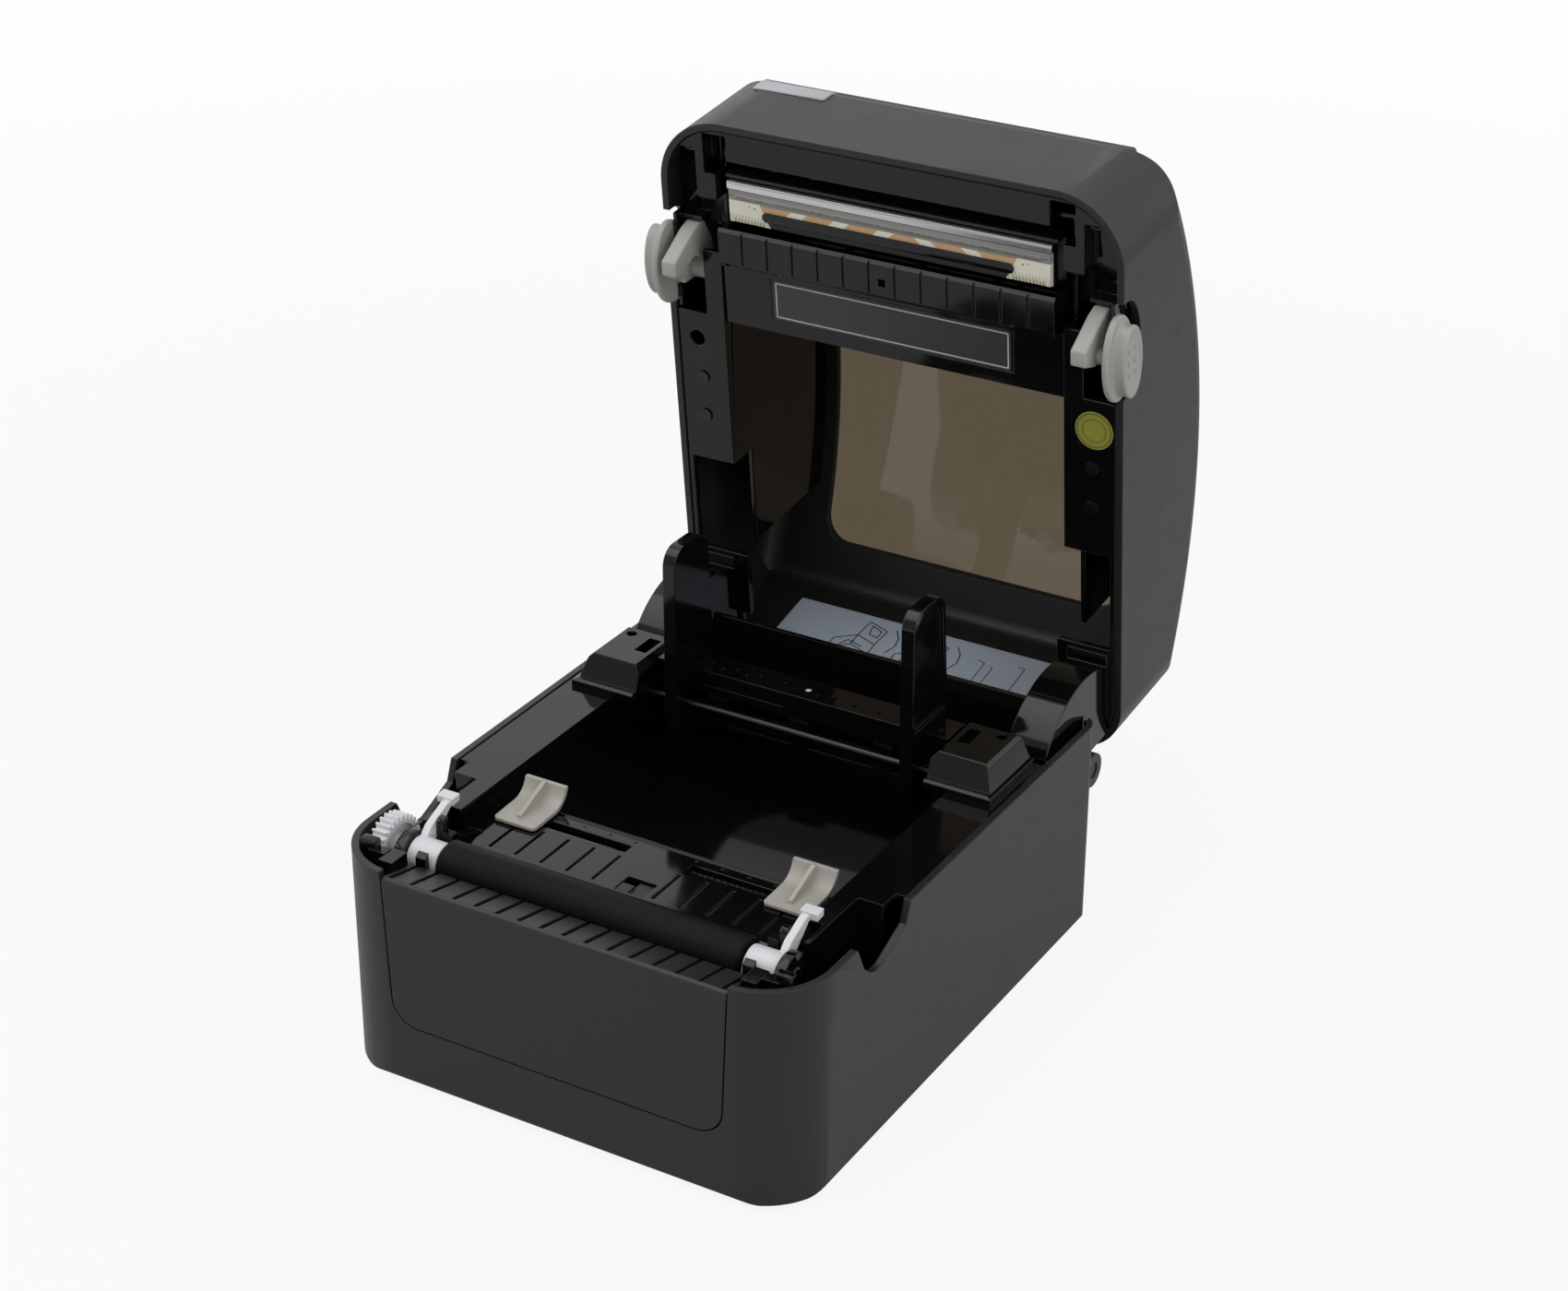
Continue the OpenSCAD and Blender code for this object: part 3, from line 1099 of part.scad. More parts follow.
module latch(side) color(GREY) lid_pose() mirror([side < 0 ? 1 : 0, 0, 0]) {
  x0 = latch_x1 - 7;
  x1 = latch_x1;
  difference() {
    union() {
      rod_x(head_hx + 3, x1, shaft_y, shaft_z, 4.6);
      // hook arm
      along_x(x0, x1) translate([notch_y - 4, rim]) polygon([[-8, 4], [-8.6, -8], [-3, -15.5], [2.6, -15.5],
        [5, -12.6], [2.2, -9.8], [3, -6], [8.6, -2], [13, 6], [11, 13], [4, 12]]);
      // oval flange and thumb pad
      along_x(x1 - eps, half_w + 0.3) flange_shape(0);
      along_x(half_w + 0.3 - eps, half_w + pad_out - 1) translate([notch_y - 1, rim - 1.5])
        slot_shape(latch_l - 7, latch_w - 8);
      along_x(half_w + pad_out - 1 - eps, half_w + pad_out) translate([notch_y - 1, rim - 1.5])
        slot_shape(latch_l - 9, latch_w - 10);
      // grip dots
      for (i = [-1:1], j = [-1:1]) if (abs(i) + abs(j) < 3) translate([half_w + pad_out, notch_y - 1 + i * 4,
        rim - 1.5 + j * 3]) rotate([0, 90, 0]) cylinder(h = 0.5, r = 0.6, $fn = 16);
    }
    rod_x(0, x1 - 2, shaft_y, shaft_z, 2.5);
    // flange is hollow behind
    along_x(x1 - 1, half_w - 2.2) difference() {
      flange_shape(2);
      translate([notch_y - 1, rim - 20]) square([30, 40]);
      translate([notch_y - 10, rim - 20]) square([5, 40]);
    }
  }
}

module latch_springs() color(STEEL) lid_pose() both_sides() difference() {
  rod_x(head_hx + 3.4, x_spring, shaft_y, shaft_z, 5.5);
  rod_x(head_hx + 3, x_spring + 1, shaft_y, shaft_z, 4.9);
}
x_spring = 78;

// ---------------------------------------------------------------- feed button and light

module button_board() lid_pose() on_roof(button_a, button_x - 6) {
  color(BOARD) translate([-16, -8, arch_r - 12]) cube([32, 16, 1.6]);
  color(GLOSS) translate([3, -3, arch_r - 10.4]) cube([6, 6, 2.4]);
  color(GLOSS) for (x = [-14.4, 14.4]) translate([x, 6, arch_r - 10.4]) cylinder(h = 7.4, r = 1.5);
}

module feed_button() color(GREY) lid_pose() on_roof(button_a, button_x) {
  translate([0, 0, arch_r - 4.6]) cylinder(h = panel_t + 4.6 + travel, r = button_r);
  translate([0, 0, arch_r - 5.6]) cylinder(h = 1.2, r = button_r + 1.5);
  translate([0, 0, arch_r - 7.9 + travel]) cylinder(h = 4, r = 2);
}

module status_light() color("#7fb8d8") lid_pose() on_roof(button_a, button_x - 14) {
  translate([0, 0, arch_r - 8]) cylinder(h = panel_t + 8.3, r = 1.5);
  translate([0, 0, arch_r - 9.4]) cylinder(h = 1.5, r = 2.6);
}

module lid_screws() color(STEEL) lid_pose() both_sides() {
  for (p = [[80, 104], [80, 120]]) translate([p[0], p[1], 0]) {
    translate([0, 0, frame_z0 - 0.7]) cylinder(h = 0.7, r = 2.6);
  }
}

// ---------------------------------------------------------------- assembly

base_shell();
inner_chassis();
roll_bin();
front_panel();
rubber_feet();
base_screws();
main_board();
dc_inlet();
usb_port();
power_switch();
power_switch_bezel();
platen_rubber();
platen_shaft();
platen_gear();
at_base() platen_lever(-1);  // platen_lever_left
at_base() platen_lever(1);  // platen_lever_right
idler_gear();
idler_stud();
motor_pinion();
stepper_motor();
motor_bracket();
sensor_deck();
label_sensor();
at_base() label_guide(-1);  // label_guide_left
at_base() label_guide(1);  // label_guide_right
guide_pinion();
roll_beam();
roll_rod();
at_base() roll_block(-1);  // roll_block_left
at_base() roll_block(1);  // roll_block_right
at_base() roll_fin(-1);  // roll_fin_left
at_base() roll_fin(1);  // roll_fin_right
roll_pinion();
block_screws();
hinge_pins();
lid_shell();
lid_frame();
lid_window();
hinge_arm(-1);  // hinge_arm_left
hinge_arm(1);  // hinge_arm_right
sensor_strip();
clean_plate();
head_bracket();
head_heatsink();
head_substrate();
head_chip_cover();
head_springs();
lid_screws();
latch_shaft();
latch(-1);  // latch_left
latch(1);  // latch_right
latch_springs();
button_board();
feed_button();
status_light();
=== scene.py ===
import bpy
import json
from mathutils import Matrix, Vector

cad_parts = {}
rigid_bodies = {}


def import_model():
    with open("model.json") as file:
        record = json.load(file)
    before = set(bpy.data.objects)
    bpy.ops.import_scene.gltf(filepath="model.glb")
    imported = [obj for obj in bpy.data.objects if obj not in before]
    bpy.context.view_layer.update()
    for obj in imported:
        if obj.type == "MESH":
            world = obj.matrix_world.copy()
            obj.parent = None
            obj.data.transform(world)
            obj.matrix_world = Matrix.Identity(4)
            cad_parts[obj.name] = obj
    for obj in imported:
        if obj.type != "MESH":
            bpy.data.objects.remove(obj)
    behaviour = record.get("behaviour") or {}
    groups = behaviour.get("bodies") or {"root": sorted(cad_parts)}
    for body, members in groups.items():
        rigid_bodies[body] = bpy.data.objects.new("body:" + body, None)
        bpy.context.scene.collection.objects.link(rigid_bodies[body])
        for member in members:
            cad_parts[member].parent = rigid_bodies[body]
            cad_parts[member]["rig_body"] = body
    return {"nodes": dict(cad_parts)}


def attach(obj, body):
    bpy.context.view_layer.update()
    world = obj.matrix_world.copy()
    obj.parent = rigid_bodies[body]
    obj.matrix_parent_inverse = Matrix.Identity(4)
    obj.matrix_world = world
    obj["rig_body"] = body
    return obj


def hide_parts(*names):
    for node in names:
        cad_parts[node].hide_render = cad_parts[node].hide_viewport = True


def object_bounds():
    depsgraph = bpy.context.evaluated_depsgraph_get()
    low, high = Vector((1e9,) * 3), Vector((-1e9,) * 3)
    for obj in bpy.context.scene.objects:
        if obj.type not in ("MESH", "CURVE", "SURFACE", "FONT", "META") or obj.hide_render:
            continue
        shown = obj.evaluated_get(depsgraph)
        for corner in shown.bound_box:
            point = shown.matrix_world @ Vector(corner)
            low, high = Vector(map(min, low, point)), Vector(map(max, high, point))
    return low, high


bl_info = {
    "name": "Label printer looks",
    "version": (1, 0, 0),
    "blender": (4, 5, 0),
    "location": "View3D > Sidebar > Printer",
    "description": "Dresses the packed label printer with finishes, trims and a studio",
    "category": "Object",
}

import json
import math

import bmesh
import bpy
from mathutils import Matrix, Vector
from mathutils.bvhtree import BVHTree

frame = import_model()
NODES = frame["nodes"]
CAD_BOX = [list(corner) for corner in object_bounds()]
MM = 0.001

# the lid at rest: its front edge, the way back along the lid, and the way out of its mouth
LID_EDGE = Vector((0.0, 0.10505, 0.27852))
LID_BACK = Vector((0.0, 0.1058, -0.9944))
LID_UP = Vector((0.0, 0.9944, 0.1058))
# the top of the front wall of the base
BASE_EDGE = Vector((0.0, -0.109, 0.082))


def on_lid(x, back, up):
    """A point on the open lid, in millimetres across, behind its front edge and above the rim."""
    return LID_EDGE + Vector((x * MM, 0, 0)) + LID_BACK * back * MM + LID_UP * up * MM


def on_base(x, back, up):
    """A point of the base, in millimetres across, behind its front face and above the rim."""
    return BASE_EDGE + Vector((x, back, up)) * MM


def one_side(point, side):
    """Two ways to place points on the left (-1) or the right (1): by (x, back, up) and by (back, up, x)."""

    def place(x, back, up):
        return point(side * x, back, up)

    def along_x(back, up, x):
        return point(side * x, back, up)

    return place, along_x


# ------------------------------------------------------------------ shader helpers


class Value:
    """A shader socket that Python sums work on: each sum adds its Math node."""

    def __init__(self, shader, socket):
        self.shader = shader
        self.socket = socket

    def maths(self, operation, *others, clamp=False):
        settings = {"operation": operation, "use_clamp": clamp}
        values = {i + 1: v for i, v in enumerate(others)}
        return self.shader.node("Math", settings, {0: self, **values})

    def __add__(self, other):
        return self.maths("ADD", other)

    def __radd__(self, other):
        return self.maths("ADD", other)

    def __sub__(self, other):
        return self.maths("SUBTRACT", other)

    def __rsub__(self, other):
        return self.shader.node("Math", {"operation": "SUBTRACT"}, {0: other, 1: self})

    def __mul__(self, other):
        return self.maths("MULTIPLY", other)

    def __rmul__(self, other):
        return self.maths("MULTIPLY", other)

    def __truediv__(self, other):
        return self.maths("DIVIDE", other)

    def __abs__(self):
        return self.maths("ABSOLUTE")

    def clamped(self):
        return self.maths("ADD", 0.0, clamp=True)

    def smooth(self, low, high):
        """0 below low, 1 above high, with a soft step between."""
        settings = {"interpolation_type": "SMOOTHSTEP"}
        return self.shader.node("MapRange", settings, {"Value": self, "From Min": low, "From Max": high})


class Shader:
    """The nodes of one material, or of the room: every one of them comes from node()."""

    def __init__(self, name, owner=None):
        self.owner = owner or bpy.data.materials.new(name)
        self.owner.use_nodes = True
        self.tree = self.owner.node_tree
        self.tree.nodes.clear()
        self.place = self.node("TexCoord", out="Object")

    def node(self, kind, settings=None, inputs=None, out=0):
        made = self.tree.nodes.new("ShaderNode" + kind)
        for key, value in (settings or {}).items():
            setattr(made, key, value)
        for key, value in (inputs or {}).items():
            socket = made.inputs[key]
            if isinstance(value, Value):
                self.tree.links.new(value.socket, socket)
            else:
                socket.default_value = value
        return Value(self, made.outputs[out]) if made.outputs else None

    def noise(self, scale, detail=3.0, roughness=0.5, stretch=None):
        place = self.place
        if stretch:
            place = self.node("Mapping", {}, {"Vector": place, "Scale": stretch})
        inputs = {"Vector": place, "Scale": scale, "Detail": detail, "Roughness": roughness}
        return self.node("TexNoise", {}, inputs)

    def mix(self, factor, low, high):
        inputs = {0: factor, 6: rgba(low), 7: rgba(high)}
        return self.node("Mix", {"data_type": "RGBA"}, inputs, out=2)

    def bump(self, height, distance, strength=1.0, edge=0.0):
        """Relief of a height pattern; edge is the radius at which sharp edges look rounded."""
        inputs = {"Height": height, "Distance": distance, "Strength": strength}
        if edge:
            inputs["Normal"] = self.node("Bevel", {"samples": 6}, {"Radius": edge})
        return self.node("Bump", {}, inputs)

    def across(self, origin, direction):
        """Millimetres from a point along a direction."""
        away = self.node("VectorMath", {"operation": "SUBTRACT"}, {0: self.place, 1: origin})
        along = self.node("VectorMath", {"operation": "DOT_PRODUCT"}, {0: away, 1: direction}, out="Value")
        return along / MM

    def surface(self, **sockets):
        names = {key.replace("_", " "): value for key, value in sockets.items()}
        colour = names.get("Base Color")
        if colour is not None and not isinstance(colour, Value):
            names["Base Color"] = rgba(colour)
        return self.finished(self.node("BsdfPrincipled", {}, names))

    def finished(self, shader, end="OutputMaterial"):
        """Puts a shader on the output, and gives back the material or the room."""
        self.node(end, {}, {"Surface": shader})
        return self.owner


def rgba(colour):
    return colour if isinstance(colour, Value) else (*colour[:3], 1.0)


def srgb(red, green, blue):
    """Linear colour of an 8-bit screen colour."""
    def one(c):
        c /= 255
        return c / 12.92 if c <= 0.04045 else ((c + 0.055) / 1.055) ** 2.4
    return (one(red), one(green), one(blue))


# ------------------------------------------------------------------ settings


def colour_setting(name, description, default):
    return bpy.props.FloatVectorProperty(
        name=name, description=description, default=default, subtype="COLOR", size=3, min=0, max=1
    )


def length_setting(name, description, default):
    return bpy.props.FloatProperty(
        name=name, description=description, default=default, unit="LENGTH", min=0
    )


class PrinterFinishes(bpy.types.PropertyGroup):
    casing: colour_setting("Casing", "Satin charcoal of the outer mouldings", srgb(29, 31, 30))
    gloss: colour_setting("Inner mouldings", "Black of the polished inner mouldings", srgb(11, 11, 12))
    latch: colour_setting("Latches", "Grey of the latches and thumb pads", srgb(166, 165, 160))
    guide: colour_setting("Label guides", "Warm grey of the label guides", srgb(170, 167, 159))
    acetal: colour_setting("Gears and levers", "Natural white of the gears and levers", srgb(222, 223, 226))
    window: colour_setting("Window", "Smoke of the clear roof window", srgb(94, 84, 69))
    steel: colour_setting("Steel", "Bright steel of shafts and screws", (0.55, 0.56, 0.58))
    paper: colour_setting("Setup label", "Pale blue grey of the label inside the lid", srgb(178, 188, 200))
    stamp: colour_setting("Round label", "Yellow green of the round label", srgb(136, 136, 50))


class PrinterSizes(bpy.types.PropertyGroup):
    casing_edge: length_setting("Casing edge", "Rounding of the edges of the outer mouldings", 0.0006)
    inner_edge: length_setting("Inner edge", "Rounding of the edges of the inner mouldings", 0.00035)
    small_edge: length_setting("Small edge", "Rounding of the edges of gears and small parts", 0.00015)
    film: length_setting("Label film", "Thickness of the stuck-on labels", 0.00015)
    badge: length_setting("Badge", "Thickness of the bare badge plate", 0.0007)


class PrinterStudio(bpy.types.PropertyGroup):
    key_power: bpy.props.FloatProperty(
        name="Key light", description="Power of the large light above", default=10.0, min=0, unit="POWER"
    )
    fill_power: bpy.props.FloatProperty(
        name="Fill light", description="Power of the light on the right", default=7.0, min=0, unit="POWER"
    )
    world: bpy.props.FloatProperty(
        name="Room light", description="Strength of the even light of the room", default=0.5, min=0
    )


# ------------------------------------------------------------------ finishes


def satin_casing(colour):
    """Fine spark-eroded texture with faint handling marks."""
    s = Shader("satin_charcoal_casing")
    grain = s.noise(2600.0, 2.0, 0.6)
    cloud = s.noise(14.0, 4.0, 0.55)
    marks = s.noise(60.0, 5.0, 0.6, stretch=(1.0, 1.0, 3.0)).smooth(0.52, 0.72)
    base = s.mix(cloud, [c * 0.85 for c in colour], [c * 1.15 for c in colour])
    base = s.mix(marks * 0.10, base, [min(1, c * 1.6 + 0.006) for c in colour])
    rough = 0.34 + cloud * 0.07 + marks * 0.06
    height = grain * 0.8 + s.noise(900.0, 2.0) * 0.4
    return s.surface(
        Base_Color=base, Roughness=rough, Normal=s.bump(height, 0.00003, 0.3, edge=0.0007),
        Specular_IOR_Level=0.39
    )


def polished_black(colour, name="polished_black_moulding", shine=0.4):
    """Polished moulding: nearly clean, with faint ripples and dust."""
    s = Shader(name)
    ripple = s.noise(45.0, 2.0, 0.4)
    haze = s.noise(9.0, 4.0, 0.6)
    dust = s.noise(1400.0, 2.0, 0.7).smooth(0.72, 0.77)
    base = s.mix(haze, [c * 0.7 for c in colour], [c * 1.3 for c in colour])
    base = s.mix(dust * 0.18, base, (0.2, 0.2, 0.19))
    rough = 0.05 + haze * 0.06 + dust * 0.25
    return s.surface(
        Base_Color=base, Roughness=rough, Normal=s.bump(ripple, 0.0003, 0.06, edge=0.0004),
        Specular_IOR_Level=shine
    )


def moulded(name, colour, rough=0.42, grain_height=0.00003, glow=0.0, edge=0.0004):
    """Plain moulded plastic of one colour with fine texture and soft clouding."""
    s = Shader(name)
    cloud = s.noise(40.0, 4.0, 0.55)
    grain = s.noise(2200.0, 2.0, 0.5)
    base = s.mix(cloud, [c * 0.93 for c in colour], [min(1.0, c * 1.05) for c in colour])
    settings = {"Subsurface_Weight": glow, "Subsurface_Radius": (0.004, 0.004, 0.004)} if glow else {}
    return s.surface(
        Base_Color=base, Roughness=rough - 0.05 + cloud * 0.1,
        Normal=s.bump(grain, grain_height, 0.3, edge=edge), **settings
    )


def metal(name, colour, rough, stretch, scratch=0.5):
    """Metal with fine lines drawn along one direction."""
    s = Shader(name)
    lines = s.noise(900.0, 3.0, 0.6, stretch=stretch)
    cloud = s.noise(30.0, 3.0, 0.5)
    base = s.mix(cloud, [c * 0.86 for c in colour], [min(1.0, c * 1.05) for c in colour])
    base = s.mix((lines - 0.5).smooth(0.05, 0.3) * 0.35, base, [c * 0.6 for c in colour])
    return s.surface(
        Base_Color=base, Metallic=1.0, Roughness=rough + (lines - 0.5) * 0.12 + cloud * 0.05,
        Normal=s.bump(lines, 0.00002, scratch, edge=0.0002)
    )


def ground_rubber():
    """Ground black rubber: fine rings round the roller and a trace of paper dust."""
    s = Shader("ground_black_rubber")
    rings = s.noise(1500.0, 2.0, 0.5, stretch=(1.0, 0.04, 0.04))
    dust = s.noise(700.0, 3.0, 0.7).smooth(0.68, 0.76)
    base = s.mix(s.noise(25.0, 3.0, 0.5), srgb(9, 9, 10), srgb(17, 17, 17))
    base = s.mix(dust * 0.12, base, srgb(120, 120, 118))
    return s.surface(
        Base_Color=base, Roughness=0.42 + rings * 0.12, Normal=s.bump(rings, 0.00004, 0.4, edge=0.0004),
        Specular_IOR_Level=0.1
    )


def smoked_clear(colour):
    """Clear plastic with a brown smoke tint, lightly dusty inside."""
    s = Shader("smoked_clear_plastic")
    dust = s.noise(260.0, 4.0, 0.65).smooth(0.55, 0.8)
    base = s.mix(dust * 0.05, colour, (0.4, 0.38, 0.34))
    return s.surface(
        Base_Color=base, Roughness=0.02 + dust * 0.04, Transmission_Weight=1.0, IOR=1.49,
        Normal=s.bump(s.noise(18.0, 2.0, 0.4), 0.0006, 0.05)
    )


def board_green():
    """Green circuit board with a faint grid of tracks."""
    s = Shader("circuit_board_green")
    x = s.node("SeparateXYZ", {}, {"Vector": s.place}, out="X")
    z = s.node("SeparateXYZ", {}, {"Vector": s.place}, out="Z")
    tracks = abs((x * 420.0 + s.noise(120.0, 1.0) * 1.6).maths("FRACT") - 0.5).smooth(0.08, 0.12)
    cross = abs((z * 380.0 + s.noise(90.0, 1.0) * 1.8).maths("FRACT") - 0.5).smooth(0.08, 0.12)
    base = s.mix(tracks * cross, (0.03, 0.17, 0.09), (0.015, 0.085, 0.045))
    return s.surface(Base_Color=base, Roughness=0.32, Normal=s.bump(tracks * cross, 0.00005, 0.4))


HEAD_FRONT = 21.4          # front of the print head behind the front edge of the lid, in millimetres
HEAD_END = 50.0            # where the cream ends of the heater plate begin, across
PATCHES = (-36.5, -19.4, -1.5, 16.0, 34.3)


def heater_plate():
    """Ceramic heater plate: grey glaze with the heater line, tan film with cream patches, cream ends."""
    s = Shader("heater_plate_ceramic")
    x = s.across(LID_EDGE, (1.0, 0.0, 0.0))
    back = s.across(LID_EDGE, LID_BACK) - HEAD_FRONT
    side = abs(x)
    speckle = s.noise(900.0, 3.0, 0.7)
    streak = s.noise(40.0, 3.0, 0.6, stretch=(0.15, 6.0, 6.0))
    glaze = s.mix(streak, srgb(104, 102, 99), srgb(150, 147, 142))
    line = 1.0 - abs(back - 5.6).smooth(0.12, 0.3)
    glaze = s.mix(line * speckle.smooth(0.42, 0.6) * 0.8, glaze, srgb(50, 49, 47))
    film = s.mix(s.noise(60.0, 3.0, 0.5), srgb(184, 146, 104), srgb(202, 165, 122))
    cream = s.mix(s.noise(80.0, 2.0, 0.5), srgb(214, 211, 192), srgb(228, 226, 212))
    patches = None
    for place in PATCHES:
        lean = 1.1 if place < 0 else -1.1
        offset = abs(x - place + (back - 9.0) * lean)
        mask = 1.0 - offset.smooth(3.0, 3.3)
        patches = mask if patches is None else patches.maths("MAXIMUM", mask)
    marks = (1.0 - abs(side - HEAD_END - 3.4).smooth(0.25, 0.4)) * (1.0 - abs(back - 9.2).smooth(0.25, 0.4))
    dots = (1.0 - abs(side - HEAD_END - 5.6).smooth(0.2, 0.3)) * (1.0 - abs(back - 8.6).smooth(0.2, 0.3))
    base = s.mix(patches, film, cream)
    base = s.mix(back.smooth(7.5, 7.6), glaze, base)
    base = s.mix(back.smooth(13.0, 13.1), base, srgb(15, 15, 15))
    ends = (side + (back - 9.5) * 0.5).smooth(HEAD_END, HEAD_END + 0.3) * back.smooth(7.1, 7.2)
    base = s.mix(ends, base, cream)
    base = s.mix((marks + dots).clamped() * ends, base, srgb(96, 92, 80))
    comb = (abs((side / 1.3).maths("FRACT") - 0.5) - 0.28).smooth(0.0, 0.04) * back.smooth(12.4, 12.6) * ends
    base = s.mix(comb * 0.6, base, srgb(150, 152, 112))
    rough = 0.16 + back.smooth(7.5, 7.7) * 0.25 + speckle * 0.06
    return s.surface(
        Base_Color=base, Roughness=rough, Normal=s.bump(speckle, 0.00002, 0.3, edge=0.00015)
    )


def printed_film(name, colour, rough=0.4, painted_shade=None):
    """Thin label film with slight waves; an optional painted shade darkens it towards one side."""
    s = Shader(name)
    cloud = s.noise(22.0, 3.0, 0.5)
    base = s.mix(cloud, [c * 0.92 for c in colour], [min(1.0, c * 1.05) for c in colour])
    if painted_shade:
        start, direction, low, high = painted_shade
        # painted shade: the film is darkened towards one side, standing in for shade falling across it
        base = s.mix(s.across(start, direction).smooth(low, high) * 0.25, base, [c * 0.6 for c in colour])
    return s.surface(
        Base_Color=base, Roughness=rough + cloud * 0.08, Normal=s.bump(s.noise(110.0, 2.0), 0.0001, 0.15)
    )


class Finishes:
    """The materials of the printer, each made once when first asked for."""

    made = {}

    def __getattr__(self, name):
        if name not in Finishes.made:
            c = bpy.context.scene.printer_finishes
            makers = {
                "casing": lambda: satin_casing(c.casing),
                "gloss": lambda: polished_black(c.gloss),
                "bay": lambda: polished_black(c.gloss, "polished_black_roll_bay", 0.2),
                "latch": lambda: moulded("satin_grey_latch", c.latch, 0.38, 0.00004, edge=0.0006),
                "guide": lambda: moulded("warm_grey_guide", c.guide, 0.38, 0.00003),
                "acetal": lambda: moulded("natural_acetal", c.acetal, 0.33, 0.00002, 0.05, edge=0.0002),
                "rubber": ground_rubber,
                "foot": lambda: moulded("soft_rubber_foot", srgb(26, 26, 26), 0.7, 0.00008),
                "window": lambda: smoked_clear(c.window),
                "steel": lambda: metal("bright_steel", c.steel, 0.2, (0.02, 1.0, 1.0)),
                "plate": lambda: metal("zinc_plate", (0.6, 0.6, 0.58), 0.35, (1.0, 0.05, 1.0)),
                "alu": lambda: metal("milled_aluminium", (0.72, 0.73, 0.74), 0.2, (0.01, 1.0, 1.0), 0.8),
                "darksteel": lambda: metal("blackened_steel", (0.05, 0.05, 0.055), 0.3, (0.02, 1.0, 1.0)),
                "board": board_green,
                "lamp": lambda: moulded("light_pipe", (0.45, 0.62, 0.72), 0.15, 0.00001, 0.3),
                "dark": lambda: moulded("satin_black_part", srgb(16, 16, 17), 0.36, 0.00003),
                "heater": heater_plate,
                # the setup label gets painted shade, darker towards its right end
                "paper": lambda: printed_film(
                    "setup_label_film", c.paper, 0.35, (on_lid(-64, 0, 0), (1.0, 0.0, 0.0), 30.0, 112.0)),
                "ink": lambda: printed_film("printed_line_black", srgb(38, 40, 44), 0.5),
                "redink": lambda: printed_film("printed_line_red", srgb(150, 88, 92), 0.5),
                "stamp": lambda: printed_film("round_label_film", c.stamp, 0.35),
                "stampline": lambda: printed_film("round_label_line", srgb(70, 72, 30), 0.5),
                "note": lambda: printed_film("cleaning_note_film", srgb(47, 50, 51), 0.3),
                "noteline": lambda: printed_film("cleaning_note_line", srgb(176, 178, 178), 0.5),
                "badge": lambda: moulded("pale_badge_plate", srgb(176, 178, 184), 0.3, 0.00002),
            }
            Finishes.made[name] = makers[name]()
        return Finishes.made[name]


finishes = Finishes()


# ------------------------------------------------------------------ mesh helpers

SHARP = math.radians(35)          # edges that turn by more than this are rounded


def put_in_scene(name, mesh, materials, body):
    """Adds a piece with its finishes and the body it rides on."""
    piece = bpy.data.objects.new(name, mesh)
    bpy.context.scene.collection.objects.link(piece)
    piece.data.materials.clear()
    for material in materials if isinstance(materials, (list, tuple)) else [materials]:
        piece.data.materials.append(material)
    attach(piece, body)
    return piece


def from_bmesh(name, bm, material, body, smooth=40):
    """Ends a bmesh as a piece, shaded smooth except where it turns by more than an angle in degrees."""
    bmesh.ops.remove_doubles(bm, verts=bm.verts, dist=1e-7)
    bmesh.ops.recalc_face_normals(bm, faces=bm.faces)
    mesh = bpy.data.meshes.new(name)
    bm.to_mesh(mesh)
    bm.free()
    mesh.shade_smooth()
    mesh.set_sharp_from_angle(angle=math.radians(smooth))
    return put_in_scene(name, mesh, material, body)


def instead_of(node, bm, material, smooth):
    """A piece shown in the place of a CAD node."""
    piece = from_bmesh(node + "_finished", bm, material, NODES[node]["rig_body"], smooth)
    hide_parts(node)


def softened(node, material, edge, second=None, chosen=None, segments=2):
    """A copy of a CAD node with rounded edges, shown in its place; chosen faces get a second finish."""
    source = NODES[node]
    bm = bmesh.new()
    bm.from_mesh(source.data)
    bmesh.ops.remove_doubles(bm, verts=bm.verts, dist=2e-6)
    bmesh.ops.join_triangles(
        bm, faces=bm.faces, angle_face_threshold=math.radians(0.3), angle_shape_threshold=math.radians(60)
    )
    for face in bm.faces:
        face.material_index = 0
        if chosen and chosen(face.calc_center_median(), face.normal):
            face.material_index = 1
    mesh = bpy.data.meshes.new(node + "_finished")
    bm.to_mesh(mesh)
    bm.free()
    mesh.shade_smooth()
    mesh.set_sharp_from_angle(angle=math.radians(30))
    materials = [material, second] if second else material
    piece = put_in_scene(node + "_finished", mesh, materials, source["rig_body"])
    bevel = piece.modifiers.new("Rounded edges", "BEVEL")
    bevel.width = edge
    bevel.segments = segments
    bevel.limit_method = "ANGLE"
    bevel.angle_limit = SHARP
    bevel.use_clamp_overlap = True
    bevel.miter_outer = "MITER_ARC"
    flat = piece.modifiers.new("Flat faces stay flat", "WEIGHTED_NORMAL")
    flat.mode = "FACE_AREA"
    flat.weight = 100
    flat.keep_sharp = True
    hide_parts(node)


def plain(node, *materials):
    """Keeps a CAD node and gives it its finishes, one for each of its slots."""
    source = NODES[node]
    slots = max(1, len(source.data.materials))
    source.data.materials.clear()
    for i in range(slots):
        source.data.materials.append(materials[min(i, len(materials) - 1)])


def oval(half_a, half_b, count=64):
    """Outline of an ellipse in millimetres."""
    bm = bmesh.new()
    bmesh.ops.create_circle(bm, segments=count, radius=1.0)
    bmesh.ops.scale(bm, verts=bm.verts, vec=(half_a, half_b, 1))
    points = [(v.co.x, v.co.y) for v in bm.verts]
    bm.free()
    return points


def moved(outline, centre):
    """An outline about a new centre."""
    return [(a + centre[0], b + centre[1]) for a, b in outline]


